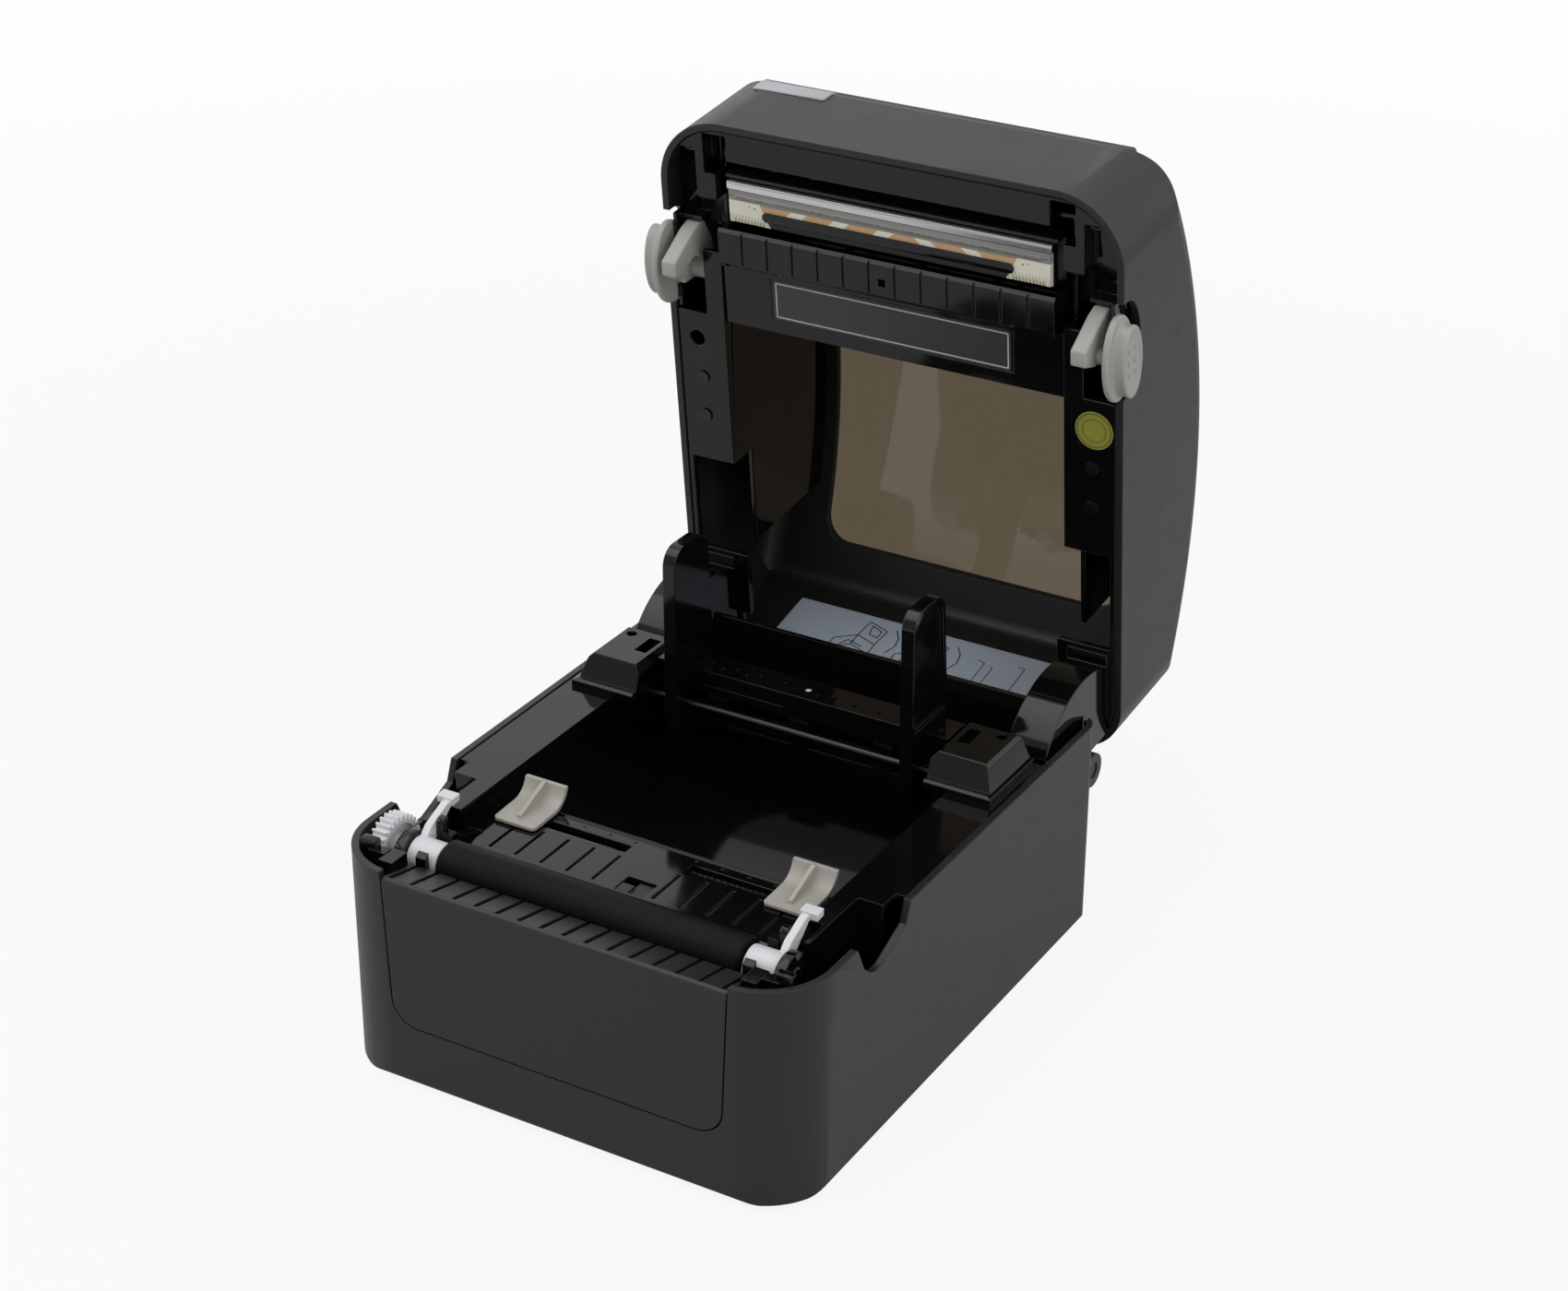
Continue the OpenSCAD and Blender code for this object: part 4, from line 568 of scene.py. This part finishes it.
def arc(centre, half_a, half_b, start, end, steps):
    """Points along a stretch of an ellipse, from one angle to another in degrees."""
    angles = [math.radians(start + (end - start) * i / steps) for i in range(steps + 1)]
    return [(centre[0] + half_a * math.cos(t), centre[1] + half_b * math.sin(t)) for t in angles]


def rounded(a0, a1, b0, b1, radius, steps=6):
    """Outline of a rectangle with round corners, in millimetres."""
    points = []
    for a, b, start in ((a1, b1, 0), (a0, b1, 90), (a0, b0, 180), (a1, b0, 270)):
        middle = (a - radius if a == a1 else a + radius, b - radius if b == b1 else b + radius)
        points += arc(middle, radius, radius, start, start + 90, steps)
    return points


def set_in(bm, own, place):
    """Moves a part's points where a function of three lengths puts them, and joins the part to a piece."""
    for v in own.verts:
        v.co = place(*v.co)
    part = bpy.data.meshes.new("part")
    own.to_mesh(part)
    own.free()
    bm.from_mesh(part)
    bpy.data.meshes.remove(part)


def slab(bm, outline, low, high, place, bevel=0.0, segments=2, hole=0.0, slices=()):
    """Adds a plate with an outline, between two heights, set in place by a function of three lengths."""
    own = bmesh.new()
    face = own.faces.new([own.verts.new((a, b, low)) for a, b in outline])
    face.normal_update()
    if hole:
        bmesh.ops.inset_region(own, faces=[face], thickness=hole, use_boundary=True, use_even_offset=True)
        bmesh.ops.delete(own, geom=[face], context="FACES_ONLY")
    for b in slices:
        bmesh.ops.bisect_plane(
            own, geom=own.verts[:] + own.edges[:] + own.faces[:], plane_co=(0, b, 0), plane_no=(0, 1, 0)
        )
    made = bmesh.ops.extrude_face_region(own, geom=own.faces[:], use_keep_orig=True)["geom"]
    tops = [v for v in made if isinstance(v, bmesh.types.BMVert)]
    bmesh.ops.translate(own, verts=tops, vec=(0, 0, high - low))
    bmesh.ops.recalc_face_normals(own, faces=own.faces)
    if bevel:
        rims = [e for e in own.edges if len(e.link_faces) == 2 and e.calc_face_angle(0) > SHARP]
        bmesh.ops.bevel(
            own, geom=rims, offset=bevel, affect="EDGES", segments=segments, profile=0.5, material=-1,
            clamp_overlap=True
        )
    set_in(bm, own, place)


def rod(bm, radius, x0, x1, centre, place, segments=32):
    """Adds a round bar along x between two lengths, round a centre behind and above."""
    outline = moved(oval(radius, radius, segments), centre)
    slab(bm, outline, x0, x1, lambda a, b, x: place(x, a, b), bevel=min(0.5, radius / 6))


def loft(bm, rings, place):
    """Adds a closed body through rings of equally many points, each (outline, height)."""
    own = bmesh.new()
    loops = []
    for outline, height in rings:
        verts = [own.verts.new((a, b, height)) for a, b in outline]
        loops.append([own.edges.new((verts[i - 1], verts[i])) for i in range(len(verts))])
        if height in (rings[0][1], rings[-1][1]) and len(loops) in (1, len(rings)):
            own.faces.new(verts)
    for first, second in zip(loops, loops[1:]):
        bmesh.ops.bridge_loops(own, edges=first + second)
    bmesh.ops.recalc_face_normals(own, faces=own.faces)
    set_in(bm, own, place)


def stroke(bm, points, width, low, high, place):
    """Adds a printed line through points, as one thin bar for each stretch."""
    for (a0, b0), (a1, b1) in zip(points, points[1:]):
        length = math.hypot(a1 - a0, b1 - b0)
        na, nb = -(b1 - b0) / length * width / 2, (a1 - a0) / length * width / 2
        outline = [(a0 - na, b0 - nb), (a1 - na, b1 - nb), (a1 + na, b1 + nb), (a0 + na, b0 + nb)]
        slab(bm, outline, low, high, place)


class Drape:
    """Places a flat piece on the surface of a CAD node by looking along a direction."""

    def __init__(self, node, start, direction):
        mesh = NODES[node].data
        points = [v.co for v in mesh.vertices]
        self.tree = BVHTree.FromPolygons(points, [face.vertices[:] for face in mesh.polygons])
        self.start = start
        self.direction = direction

    def __call__(self, a, b, height):
        hit = self.tree.ray_cast(self.start(a, b), self.direction)
        if hit[0] is None:
            raise RuntimeError("a label misses the surface it is stuck to")
        return hit[0] - self.direction * height * MM


# ------------------------------------------------------------------ operators


RAMP_FRONT = -0.1072                        # the ramp lies behind this, in metres
RAMP_FOOT = 0.0735                          # and above this
LID_MIDDLE = on_lid(0, 110, 18)
LID_INNER_HALF = 0.0898                     # half the width inside the lid's walls
BASE_MIDDLE = Vector((0, 0, 0.045))
BASE_RIM = 0.0812                           # height where the inner walls of the base end


def ramp_face(centre, normal):
    """Faces of the front panel on the tear-off ramp and inside its slits."""
    return centre.y > RAMP_FRONT and centre.z > RAMP_FOOT


def inside_lid(centre, normal):
    """Faces of the lid that look into it."""
    return (LID_MIDDLE - centre).dot(normal) > 0 and abs(centre.x) < LID_INNER_HALF


def inside_base(centre, normal):
    """Faces of the base casing that look into it."""
    return (BASE_MIDDLE - centre).dot(normal) > 0 and centre.z < BASE_RIM


class PRINTER_OT_casing(bpy.types.Operator):
    """Finish the base casing, the front panel, the feet and the screws below"""
    bl_idname = "printer.casing"
    bl_label = "Base casing"

    def execute(self, context):
        sizes = context.scene.printer_sizes
        softened("base_shell", finishes.casing, sizes.casing_edge, finishes.gloss, inside_base)
        softened("front_panel", finishes.casing, sizes.casing_edge * 0.6, finishes.gloss, ramp_face)
        softened("rubber_feet", finishes.foot, sizes.casing_edge)
        plain("base_screws", finishes.steel)
        return {"FINISHED"}


class PRINTER_OT_interior(bpy.types.Operator):
    """Finish the chassis, the roll tub and the sensor platform"""
    bl_idname = "printer.interior"
    bl_label = "Interior"

    def execute(self, context):
        sizes = context.scene.printer_sizes
        softened("inner_chassis", finishes.gloss, sizes.inner_edge)
        softened("roll_bin", finishes.bay, sizes.inner_edge)
        softened("sensor_deck", finishes.gloss, sizes.inner_edge * 0.6)
        plain("label_sensor", finishes.dark, finishes.dark, finishes.board)
        return {"FINISHED"}


BEARING = (27.0, -9.4)            # middle of a bearing cover's round top, behind the front and above the rim
COVER_RADIUS = 9.5
COVER_FOOT = -21.0                # where the cover ends below, above the rim
COVER_X = (72.4, 76.4)            # its inner and outer face
STOP_X = (66.1, 68.9)             # the faces of the stop behind the platen lever
GUARD_HEIGHTS = (-24.0, 2.6)      # foot and top of the corner guard, above the rim


class PRINTER_OT_bearings(bpy.types.Operator):
    """Add the round bearing covers, the lever stops and the corner guards"""
    bl_idname = "printer.bearings"
    bl_label = "Bearing covers"

    def execute(self, context):
        for side, name in ((-1, "left"), (1, "right")):
            place, along_x = one_side(on_base, side)
            bm = bmesh.new()
            foot = [(BEARING[0] - COVER_RADIUS, COVER_FOOT), (BEARING[0] + COVER_RADIUS, COVER_FOOT)]
            top = arc(BEARING, COVER_RADIUS, COVER_RADIUS, 0, 180, 20)
            # the round top starts with its first point twice, which makes a small step in the rounded edge
            slab(bm, foot + top[:1] + top, *COVER_X, along_x, bevel=0.5)
            rod(bm, 4.6, COVER_X[1] - 0.2, COVER_X[1] + 0.8, BEARING, place)
            stop = [(34.2, -12), (34.2, 1.6), (35.4, 3), (37.6, 3), (37.6, -1.4), (38.4, -2.2), (38.4, -12)]
            slab(bm, stop, *STOP_X, along_x, bevel=0.3)
            guard = rounded(77.6, 84, 11.6, 15.2, 0.8)
            slab(bm, guard, *GUARD_HEIGHTS, place, bevel=0.4)
            from_bmesh("bearing_cover_" + name, bm, finishes.gloss, "base")
        return {"FINISHED"}


class PRINTER_OT_drive(bpy.types.Operator):
    """Finish the platen roller, its levers, the gear train and the motor"""
    bl_idname = "printer.drive"
    bl_label = "Platen drive"

    def execute(self, context):
        sizes = context.scene.printer_sizes
        softened("platen_rubber", finishes.rubber, sizes.inner_edge)
        softened("platen_shaft", finishes.steel, sizes.small_edge)
        softened("platen_lever_left", finishes.acetal, sizes.inner_edge)
        softened("platen_lever_right", finishes.acetal, sizes.inner_edge)
        softened("platen_gear", finishes.acetal, sizes.small_edge * 0.5, segments=1)
        softened("idler_gear", finishes.acetal, sizes.small_edge * 0.5, segments=1)
        plain("idler_stud", finishes.steel)
        plain("motor_pinion", finishes.steel)
        plain("motor_bracket", finishes.plate)
        plain("stepper_motor", finishes.plate, finishes.guide)
        return {"FINISHED"}


class PRINTER_OT_guides(bpy.types.Operator):
    """Finish the label guides and their pinion"""
    bl_idname = "printer.guides"
    bl_label = "Label guides"

    def execute(self, context):
        sizes = context.scene.printer_sizes
        for side in ("left", "right"):
            softened("label_guide_" + side, finishes.guide, sizes.small_edge)
        plain("guide_pinion", finishes.acetal)
        return {"FINISHED"}


class PRINTER_OT_roll_holder(bpy.types.Operator):
    """Finish the cross beam, its end blocks, the fins and the guide rod"""
    bl_idname = "printer.roll_holder"
    bl_label = "Roll holder"

    def execute(self, context):
        sizes = context.scene.printer_sizes
        softened("roll_beam", finishes.gloss, sizes.small_edge)
        for side in ("left", "right"):
            softened("roll_block_" + side, finishes.gloss, sizes.inner_edge)
            softened("roll_fin_" + side, finishes.gloss, sizes.inner_edge)
        plain("roll_rod", finishes.darksteel)
        plain("roll_pinion", finishes.acetal)
        plain("block_screws", finishes.darksteel)
        return {"FINISHED"}


class PRINTER_OT_lid(bpy.types.Operator):
    """Finish the lid, its inner frame, the window and the hinges"""
    bl_idname = "printer.lid"
    bl_label = "Lid"

    def execute(self, context):
        sizes = context.scene.printer_sizes
        softened("lid_shell", finishes.casing, sizes.casing_edge, finishes.gloss, inside_lid)
        softened("lid_frame", finishes.gloss, sizes.inner_edge)
        softened("lid_window", finishes.window, sizes.inner_edge)
        for side in ("left", "right"):
            softened("hinge_arm_" + side, finishes.gloss, sizes.inner_edge)
        plain("hinge_pins", finishes.darksteel)
        plain("lid_screws", finishes.darksteel)
        plain("button_board", finishes.board, finishes.dark)
        softened("feed_button", finishes.latch, sizes.inner_edge)
        softened("status_light", finishes.lamp, sizes.small_edge)
        return {"FINISHED"}


WELL_INNER = 71.2                 # inner side of a corner well, across
WELL_OUTER = 88.6                 # its outer side, at the lid's wall
WELL_END = 44.0                   # its rear end, behind the lid's front edge
WELL_BACK = (9.6, 11.4)           # faces of the plate that closes it, above the rim
CHEEK_X = (87.0, 88.3)            # faces of the cheeks round the latch flange


class PRINTER_OT_corner_wells(bpy.types.Operator):
    """Close the pockets in the front corners of the lid frame from behind"""
    bl_idname = "printer.corner_wells"
    bl_label = "Lid corner wells"

    def execute(self, context):
        for side, name in ((-1, "left"), (1, "right")):
            place, along_x = one_side(on_lid, side)
            bm = bmesh.new()
            corner = arc((66, 26), 22.6, 22.6, -72, 0, 8)
            ends = [(WELL_OUTER, WELL_END), (WELL_INNER, WELL_END)]
            slab(bm, [(WELL_INNER, 4.0)] + corner + ends, *WELL_BACK, place, bevel=0.4)
            rear_wall = rounded(77.6, 88.4, 39.4, 40.9, 0.5, 2)
            rib = rounded(75.2, 76.6, 6.0, 29.0, 0.5, 2)
            screw_post = moved(oval(4.0, 4.0), (80.2, 9.4))
            slab(bm, rear_wall, 3.6, 11.0, place)
            slab(bm, rib, 3.2, 9.8, place)
            slab(bm, screw_post, 3.2, 9.8, place, hole=1.0)
            for front, rear, low, high in ((38.6, 56.6, 1, 14), (67.4, 76.0, 1, 14), (56.4, 67.6, 14, 17)):
                slab(bm, rounded(front, rear, low, high, 0.5, 2), *CHEEK_X, along_x)
            from_bmesh("corner_well_" + name, bm, finishes.gloss, "lid")
        return {"FINISHED"}


class PRINTER_OT_print_head(bpy.types.Operator):
    """Finish the print head and the plates behind it"""
    bl_idname = "printer.print_head"
    bl_label = "Print head"

    def execute(self, context):
        sizes = context.scene.printer_sizes
        softened("head_heatsink", finishes.alu, sizes.small_edge)
        softened("head_bracket", finishes.dark, sizes.small_edge)
        plain("head_springs", finishes.steel)
        softened("head_substrate", finishes.heater, sizes.small_edge * 0.5)
        self.chip_bar()
        softened("sensor_strip", finishes.gloss, sizes.small_edge)
        softened("clean_plate", finishes.gloss, sizes.small_edge)
        return {"FINISHED"}

    def chip_bar(self):
        """Black bar with round ends over the driver chips of the heater plate."""
        bm = bmesh.new()

        def place(x, back, height):
            return on_lid(x, back, 1.2 - height)

        slab(bm, rounded(-50.2, 50.2, 31.0, 34.8, 1.88, 8), 0.0, 0.72, place, bevel=0.3, segments=3)
        instead_of("head_chip_cover", bm, finishes.gloss, 50)


def grip_dot(bm, back, up, along_x):
    """One of the six flat bumps on a thumb pad."""
    dot = bmesh.new()
    bmesh.ops.create_uvsphere(dot, u_segments=12, v_segments=8, radius=0.75)
    set_in(bm, dot, lambda a, b, x: along_x(a + back, b + up, x * 0.6 + PAD_FACE))


LATCH_SHAFT = (62.0, 9.0)         # behind the lid's front edge and above the rim
PAD = (57.6, -0.9)                # middle of the flange and the thumb pad
HOOK_X = (78.9, 84.9)             # inner and outer face of the hook
FLANGE_INNER = 89.3               # how far the hub and the web reach into the flange
# flange with rounded rims: half its length, half its height, and the distance across
FLANGE_RINGS = (
    (14.9, 8.9, 88.9), (15.8, 9.8, 89.0), (16.2, 10.2, 89.5), (16.3, 10.3, 90.3), (16.2, 10.2, 91.0),
    (15.7, 9.7, 91.5), (14.8, 8.8, 91.7),
)
# thumb pad on a waisted stem, dished inside a narrow rim
PAD_RINGS = (
    (14.5, 8.2, 91.6), (13.9, 7.5, 92.1), (13.5, 7.1, 93.2), (13.6, 7.2, 94.8), (13.8, 7.4, 95.8),
    (13.6, 7.2, 96.3), (13.1, 6.7, 96.6), (12.5, 6.1, 96.55), (11.7, 5.5, 96.1), (9.0, 4.0, 95.8),
    (4.0, 1.6, 95.7),
)
PAD_FACE = 95.85
DOT_GAPS = (4.6, 2.2)             # from dot to dot along the pad, and from its middle line


class PRINTER_OT_latches(bpy.types.Operator):
    """Build the two latches, and finish their shaft and springs"""
    bl_idname = "printer.latches"
    bl_label = "Latches"

    def execute(self, context):
        for side, name in ((-1, "left"), (1, "right")):
            place, along_x = one_side(on_lid, side)
            bm = bmesh.new()
            for rings in (FLANGE_RINGS, PAD_RINGS):
                loft(bm, [(moved(oval(half_a, half_b), PAD), x) for half_a, half_b, x in rings], along_x)
            for i in (-1, 0, 1):
                for j in (-1, 1):
                    grip_dot(bm, PAD[0] + i * DOT_GAPS[0], PAD[1] + j * DOT_GAPS[1], along_x)
            # hook arm with its barb, drawn from the shaft
            hook = [(-20, -5), (-18.6, -9.8), (-11.4, -23.4), (-5.7, -23.4), (-2.4, -15.4), (-3.2, -14.2),
                    (-6.8, -15), (-8.5, -9), (-4.6, -3), (0, 2), (-3, 4.2), (-11, 2.6), (-19.4, -1.6)]
            slab(bm, moved(hook, LATCH_SHAFT), *HOOK_X, along_x, bevel=1.1, segments=3)
            web = [(57.5, 9), (57, 0), (66, 0), (66.5, 9)]
            slab(bm, web, HOOK_X[1] - 0.4, FLANGE_INNER, along_x, bevel=0.5)
            rod(bm, 4.6, 72.2, FLANGE_INNER, LATCH_SHAFT, place)
            instead_of("latch_" + name, bm, finishes.latch, 32)
        plain("latch_shaft", finishes.steel)
        plain("latch_springs", finishes.steel)
        return {"FINISHED"}


STAMP = (80.8, 88.8)              # middle of the round label, across and behind the lid's front edge
RELIEF = 0.04                     # how far printed borders stand on their film
DRAWING = (-0.03, 0.03)           # foot and top of printed lines, from the face of the film


class PRINTER_OT_labels(bpy.types.Operator):
    """Stick on the bare badge, the round label, the cleaning note and the setup label"""
    bl_idname = "printer.labels"
    bl_label = "Labels"

    def execute(self, context):
        sizes = context.scene.printer_sizes
        film = sizes.film / MM
        self.badge(sizes.badge / MM)
        self.round_label(film)
        self.cleaning_note(film)
        self.setup_label(film)
        return {"FINISHED"}

    def badge(self, thickness):
        """Pale plate on the front wall of the lid, with rounded edges."""
        front = Drape("lid_shell", lambda a, b: on_lid(a, -30, b), LID_BACK)
        cuts = [33 + i * 1.2 for i in range(1, 10)]
        bm = bmesh.new()
        slab(bm, rounded(-72.0, -42.0, 33.6, 43.6, 1.4), -0.3, thickness, front, bevel=0.25, slices=cuts)
        from_bmesh("badge_plate", bm, finishes.badge, "lid")

    def round_label(self, film):
        """Round film on the right of the lid frame, with two plain rings."""
        face = 0.8

        def place(a, b, height):
            return on_lid(a, b, face - height)

        bm = bmesh.new()
        slab(bm, moved(oval(7.3, 7.4), STAMP), -0.02, film, place)
        from_bmesh("round_label", bm, finishes.stamp, "lid")
        bm = bmesh.new()
        for radius, width in ((6.7, 0.35), (4.6, 0.25)):
            slab(bm, moved(oval(radius, radius), STAMP), film - 0.02, film + RELIEF, place, hole=width)
        from_bmesh("round_label_rings", bm, finishes.stampline, "lid")

    def cleaning_note(self, film):
        """Bare dark film with a pale border on the plate above the window."""
        face = 2.3

        def place(a, b, height):
            return on_lid(a, b, face - height)

        bm = bmesh.new()
        slab(bm, rounded(-48.0, 48.0, 58.0, 73.6, 0.6, 3), -0.02, film, place)
        from_bmesh("cleaning_note", bm, finishes.note, "lid")
        bm = bmesh.new()
        border = rounded(-47.2, 47.2, 58.8, 72.8, 0.4, 3)
        slab(bm, border, film - 0.02, film + RELIEF, place, hole=0.55)
        from_bmesh("cleaning_note_border", bm, finishes.noteline, "lid")

    def setup_label(self, film):
        """Label on the inner rear wall with two outline drawings and callout lines."""
        wall = Drape("lid_shell", lambda a, b: on_lid(a, 150, b), LID_BACK)
        bm = bmesh.new()
        slab(bm, rounded(-64.0, 48.0, 7.0, 36.5, 0.8, 3), -0.05, film, wall, slices=(12, 17, 22, 27, 32))
        from_bmesh("setup_label", bm, finishes.paper, "lid")
        low, high = (film + height for height in DRAWING)
        bm = bmesh.new()
        for x in (-40.0, -13.0):
            drawings = (
                [(x, 13), (x + 9, 11), (x + 17, 15), (x + 8, 18), (x, 13)],
                [(x, 13), (x, 19), (x + 8, 24), (x + 17, 21), (x + 17, 15)],
                [(x + 8, 18), (x + 8, 24)],
                [(x + 8, 24), (x + 9, 33), (x + 18, 30), (x + 17, 21)],
                [(x + 11, 31), (x + 12, 26), (x + 16, 25), (x + 16, 29), (x + 11, 31)],
                [(x + 3, 15), (x + 6, 20), (x + 13, 18)],
                [(x + 21, 32), (x + 24, 28), (x + 25, 23), (x + 23, 18)],
            )
            for line in drawings:
                stroke(bm, line, 0.5, low, high, wall)
        callouts = (
            [(19, 28), (22, 27), (22, 12)],
            [(25, 26), (26, 25.5), (26, 12)],
            [(35, 30), (38, 29.6), (38, 14)],
        )
        for line in callouts:
            stroke(bm, line, 0.4, low, high, wall)
        from_bmesh("setup_drawings", bm, finishes.ink, "lid")
        bm = bmesh.new()
        stroke(bm, arc((36, 8), 7, 5, 20, 155, 9), 0.45, low, high, wall)
        from_bmesh("setup_arc", bm, finishes.redink, "lid")


class PRINTER_OT_rear(bpy.types.Operator):
    """Finish the sockets, the switch and the board behind them"""
    bl_idname = "printer.rear"
    bl_label = "Rear sockets"

    def execute(self, context):
        sizes = context.scene.printer_sizes
        plain("main_board", finishes.board, finishes.dark, finishes.guide, finishes.plate)
        softened("dc_inlet", finishes.dark, sizes.small_edge)
        softened("usb_port", finishes.plate, sizes.small_edge)
        softened("power_switch_bezel", finishes.dark, sizes.inner_edge)
        softened("power_switch", finishes.dark, sizes.inner_edge)
        return {"FINISHED"}


FLOOR_HALF = 6.0                  # half the side of the floor, in metres
KEY_PLACE = (-0.35, -0.45, 1.6)
RIGHT_PLACE = (1.5, -0.5, 0.9)
LEFT_PLACE = (-1.5, -0.9, 0.7)
LEFT_SHARE = 0.6                  # power of the light on the left, as a share of the one on the right
CAMERA_PLACE = (0.51106, -0.83316, 0.64543)
CAMERA_TURN = (30.33, 27.53, 0.26)          # degrees to the right, down, and round the view
CAMERA_LENS = 74.53               # millimetres, on a sensor 36 mm wide


class PRINTER_OT_stage(bpy.types.Operator):
    """Set up the floor, the lights, the room and the camera"""
    bl_idname = "printer.stage"
    bl_label = "Studio"

    def execute(self, context):
        studio = context.scene.printer_studio
        context.scene.view_settings.view_transform = "Standard"
        self.floor()
        self.room(context, studio.world)
        self.light("key_light", KEY_PLACE, 0.10, 1.8, 1.4, studio.key_power)
        self.light("right_light", RIGHT_PLACE, 0.12, 1.1, 1.3, studio.fill_power)
        self.light("left_light", LEFT_PLACE, 0.10, 0.9, 1.2, studio.fill_power * LEFT_SHARE)
        self.camera(context)
        return {"FINISHED"}

    def floor(self):
        """White to the camera; its matte, shadowed colour lights the printer and shows in its gloss."""
        bm = bmesh.new()
        bmesh.ops.create_grid(bm, x_segments=1, y_segments=1, size=FLOOR_HALF)
        bmesh.ops.translate(bm, verts=bm.verts, vec=(0, 0, CAD_BOX[0][2]))
        mesh = bpy.data.meshes.new("floor")
        bm.to_mesh(mesh)
        bm.free()
        s = Shader("white_floor")
        seen = s.node("LightPath", out="Is Camera Ray")
        clear = s.node("LightPath", out="Is Transmission Ray")
        mirrored = s.node("LightPath", out="Is Glossy Ray")
        matte = s.node("BsdfDiffuse", {}, {"Color": (0.62, 0.62, 0.62, 1)})
        glow = s.node("Emission", {}, {"Color": (1, 1, 1, 1), "Strength": 1.0})
        far = s.node("VectorMath", {"operation": "LENGTH"}, {0: s.place}, out="Value").smooth(0.4, 1.6)
        share = seen.maths("MAXIMUM", clear) * (far * 0.1 + 0.9) + mirrored * 0.25
        mesh.materials.append(s.finished(s.node("MixShader", {}, {0: share.clamped(), 1: matte, 2: glow})))
        floor = bpy.data.objects.new("floor", mesh)
        bpy.context.scene.collection.objects.link(floor)

    def room(self, context, strength):
        """Even light; white to the camera and in gloss, where it fades towards the front."""
        s = Shader("white_room", bpy.data.worlds.new("white_room"))
        white = (1, 1, 1, 1)
        even = s.node("Background", {}, {"Color": white, "Strength": strength})
        clear = s.node("Background", {}, {"Color": white, "Strength": 1.0})
        dim = s.node("Background", {}, {"Color": white, "Strength": 0.4})
        direction = s.node("TexCoord", out="Generated")
        rear = s.node("SeparateXYZ", {}, {0: direction}, out="Y").smooth(-0.75, -0.05)
        mirrored = s.node("MixShader", {}, {0: rear, 1: dim, 2: clear})
        in_gloss = s.node("LightPath", out="Is Glossy Ray")
        gloss = s.node("MixShader", {}, {0: in_gloss, 1: even, 2: mirrored})
        to_camera = s.node("LightPath", out="Is Camera Ray")
        through = s.node("LightPath", out="Is Transmission Ray")
        seen = to_camera.maths("MAXIMUM", through)
        light = s.node("MixShader", {}, {0: seen, 1: gloss, 2: clear})
        context.scene.world = s.finished(light, "OutputWorld")

    def light(self, name, place, aim, width, height, power):
        """A large soft light, turned to a height on the printer's middle line."""
        lamp = bpy.data.lights.new(name, "AREA")
        lamp.shape = "RECTANGLE"
        lamp.size = width
        lamp.size_y = height
        lamp.energy = power
        holder = bpy.data.objects.new(name, lamp)
        bpy.context.scene.collection.objects.link(holder)
        away = Vector(place) - Vector((0, 0, aim))
        holder.location = place
        holder.rotation_mode = "QUATERNION"
        holder.rotation_quaternion = away.to_track_quat("Z", "Y")

    def camera(self, context):
        yaw, pitch, roll = (math.radians(angle) for angle in CAMERA_TURN)
        ahead = Vector((-math.sin(yaw) * math.cos(pitch), math.cos(yaw) * math.cos(pitch), -math.sin(pitch)))
        level = Vector((math.cos(yaw), math.sin(yaw), 0))
        above = level.cross(ahead)
        right = level * math.cos(roll) + above * math.sin(roll)
        up = above * math.cos(roll) - level * math.sin(roll)
        data = bpy.data.cameras.new("camera")
        data.lens = CAMERA_LENS
        data.sensor_width = 36.0
        data.sensor_fit = "HORIZONTAL"
        camera = bpy.data.objects.new("camera", data)
        context.scene.collection.objects.link(camera)
        turn = Matrix((right, up, -ahead)).transposed().to_4x4()
        camera.matrix_world = Matrix.Translation(CAMERA_PLACE) @ turn
        context.scene.camera = camera


class PRINTER_PT_looks(bpy.types.Panel):
    """The settings and the steps of the label printer"""
    bl_idname = "PRINTER_PT_looks"
    bl_label = "Label printer"
    bl_space_type = "VIEW_3D"
    bl_region_type = "UI"
    bl_category = "Printer"

    def draw(self, context):
        for group_name in GROUPS:
            group = getattr(context.scene, group_name)
            for name in group.__annotations__:
                self.layout.prop(group, name)
        for step in STEPS:
            self.layout.operator(step.bl_idname)


STEPS = (
    PRINTER_OT_casing, PRINTER_OT_interior, PRINTER_OT_bearings, PRINTER_OT_drive, PRINTER_OT_guides,
    PRINTER_OT_roll_holder, PRINTER_OT_lid, PRINTER_OT_corner_wells, PRINTER_OT_print_head,
    PRINTER_OT_latches, PRINTER_OT_labels, PRINTER_OT_rear, PRINTER_OT_stage,
)
GROUPS = {
    "printer_finishes": PrinterFinishes,
    "printer_sizes": PrinterSizes,
    "printer_studio": PrinterStudio,
}


def register():
    for name, group in GROUPS.items():
        bpy.utils.register_class(group)
        setattr(bpy.types.Scene, name, bpy.props.PointerProperty(type=group))
    for step in STEPS:
        bpy.utils.register_class(step)
    bpy.utils.register_class(PRINTER_PT_looks)


def unregister():
    bpy.utils.unregister_class(PRINTER_PT_looks)
    for step in reversed(STEPS):
        bpy.utils.unregister_class(step)
    for name, group in GROUPS.items():
        delattr(bpy.types.Scene, name)
        bpy.utils.unregister_class(group)


def main():
    register()
    for step in STEPS:
        getattr(bpy.ops.printer, step.bl_idname.split(".")[1])()


if __name__ == "__main__":
    main()
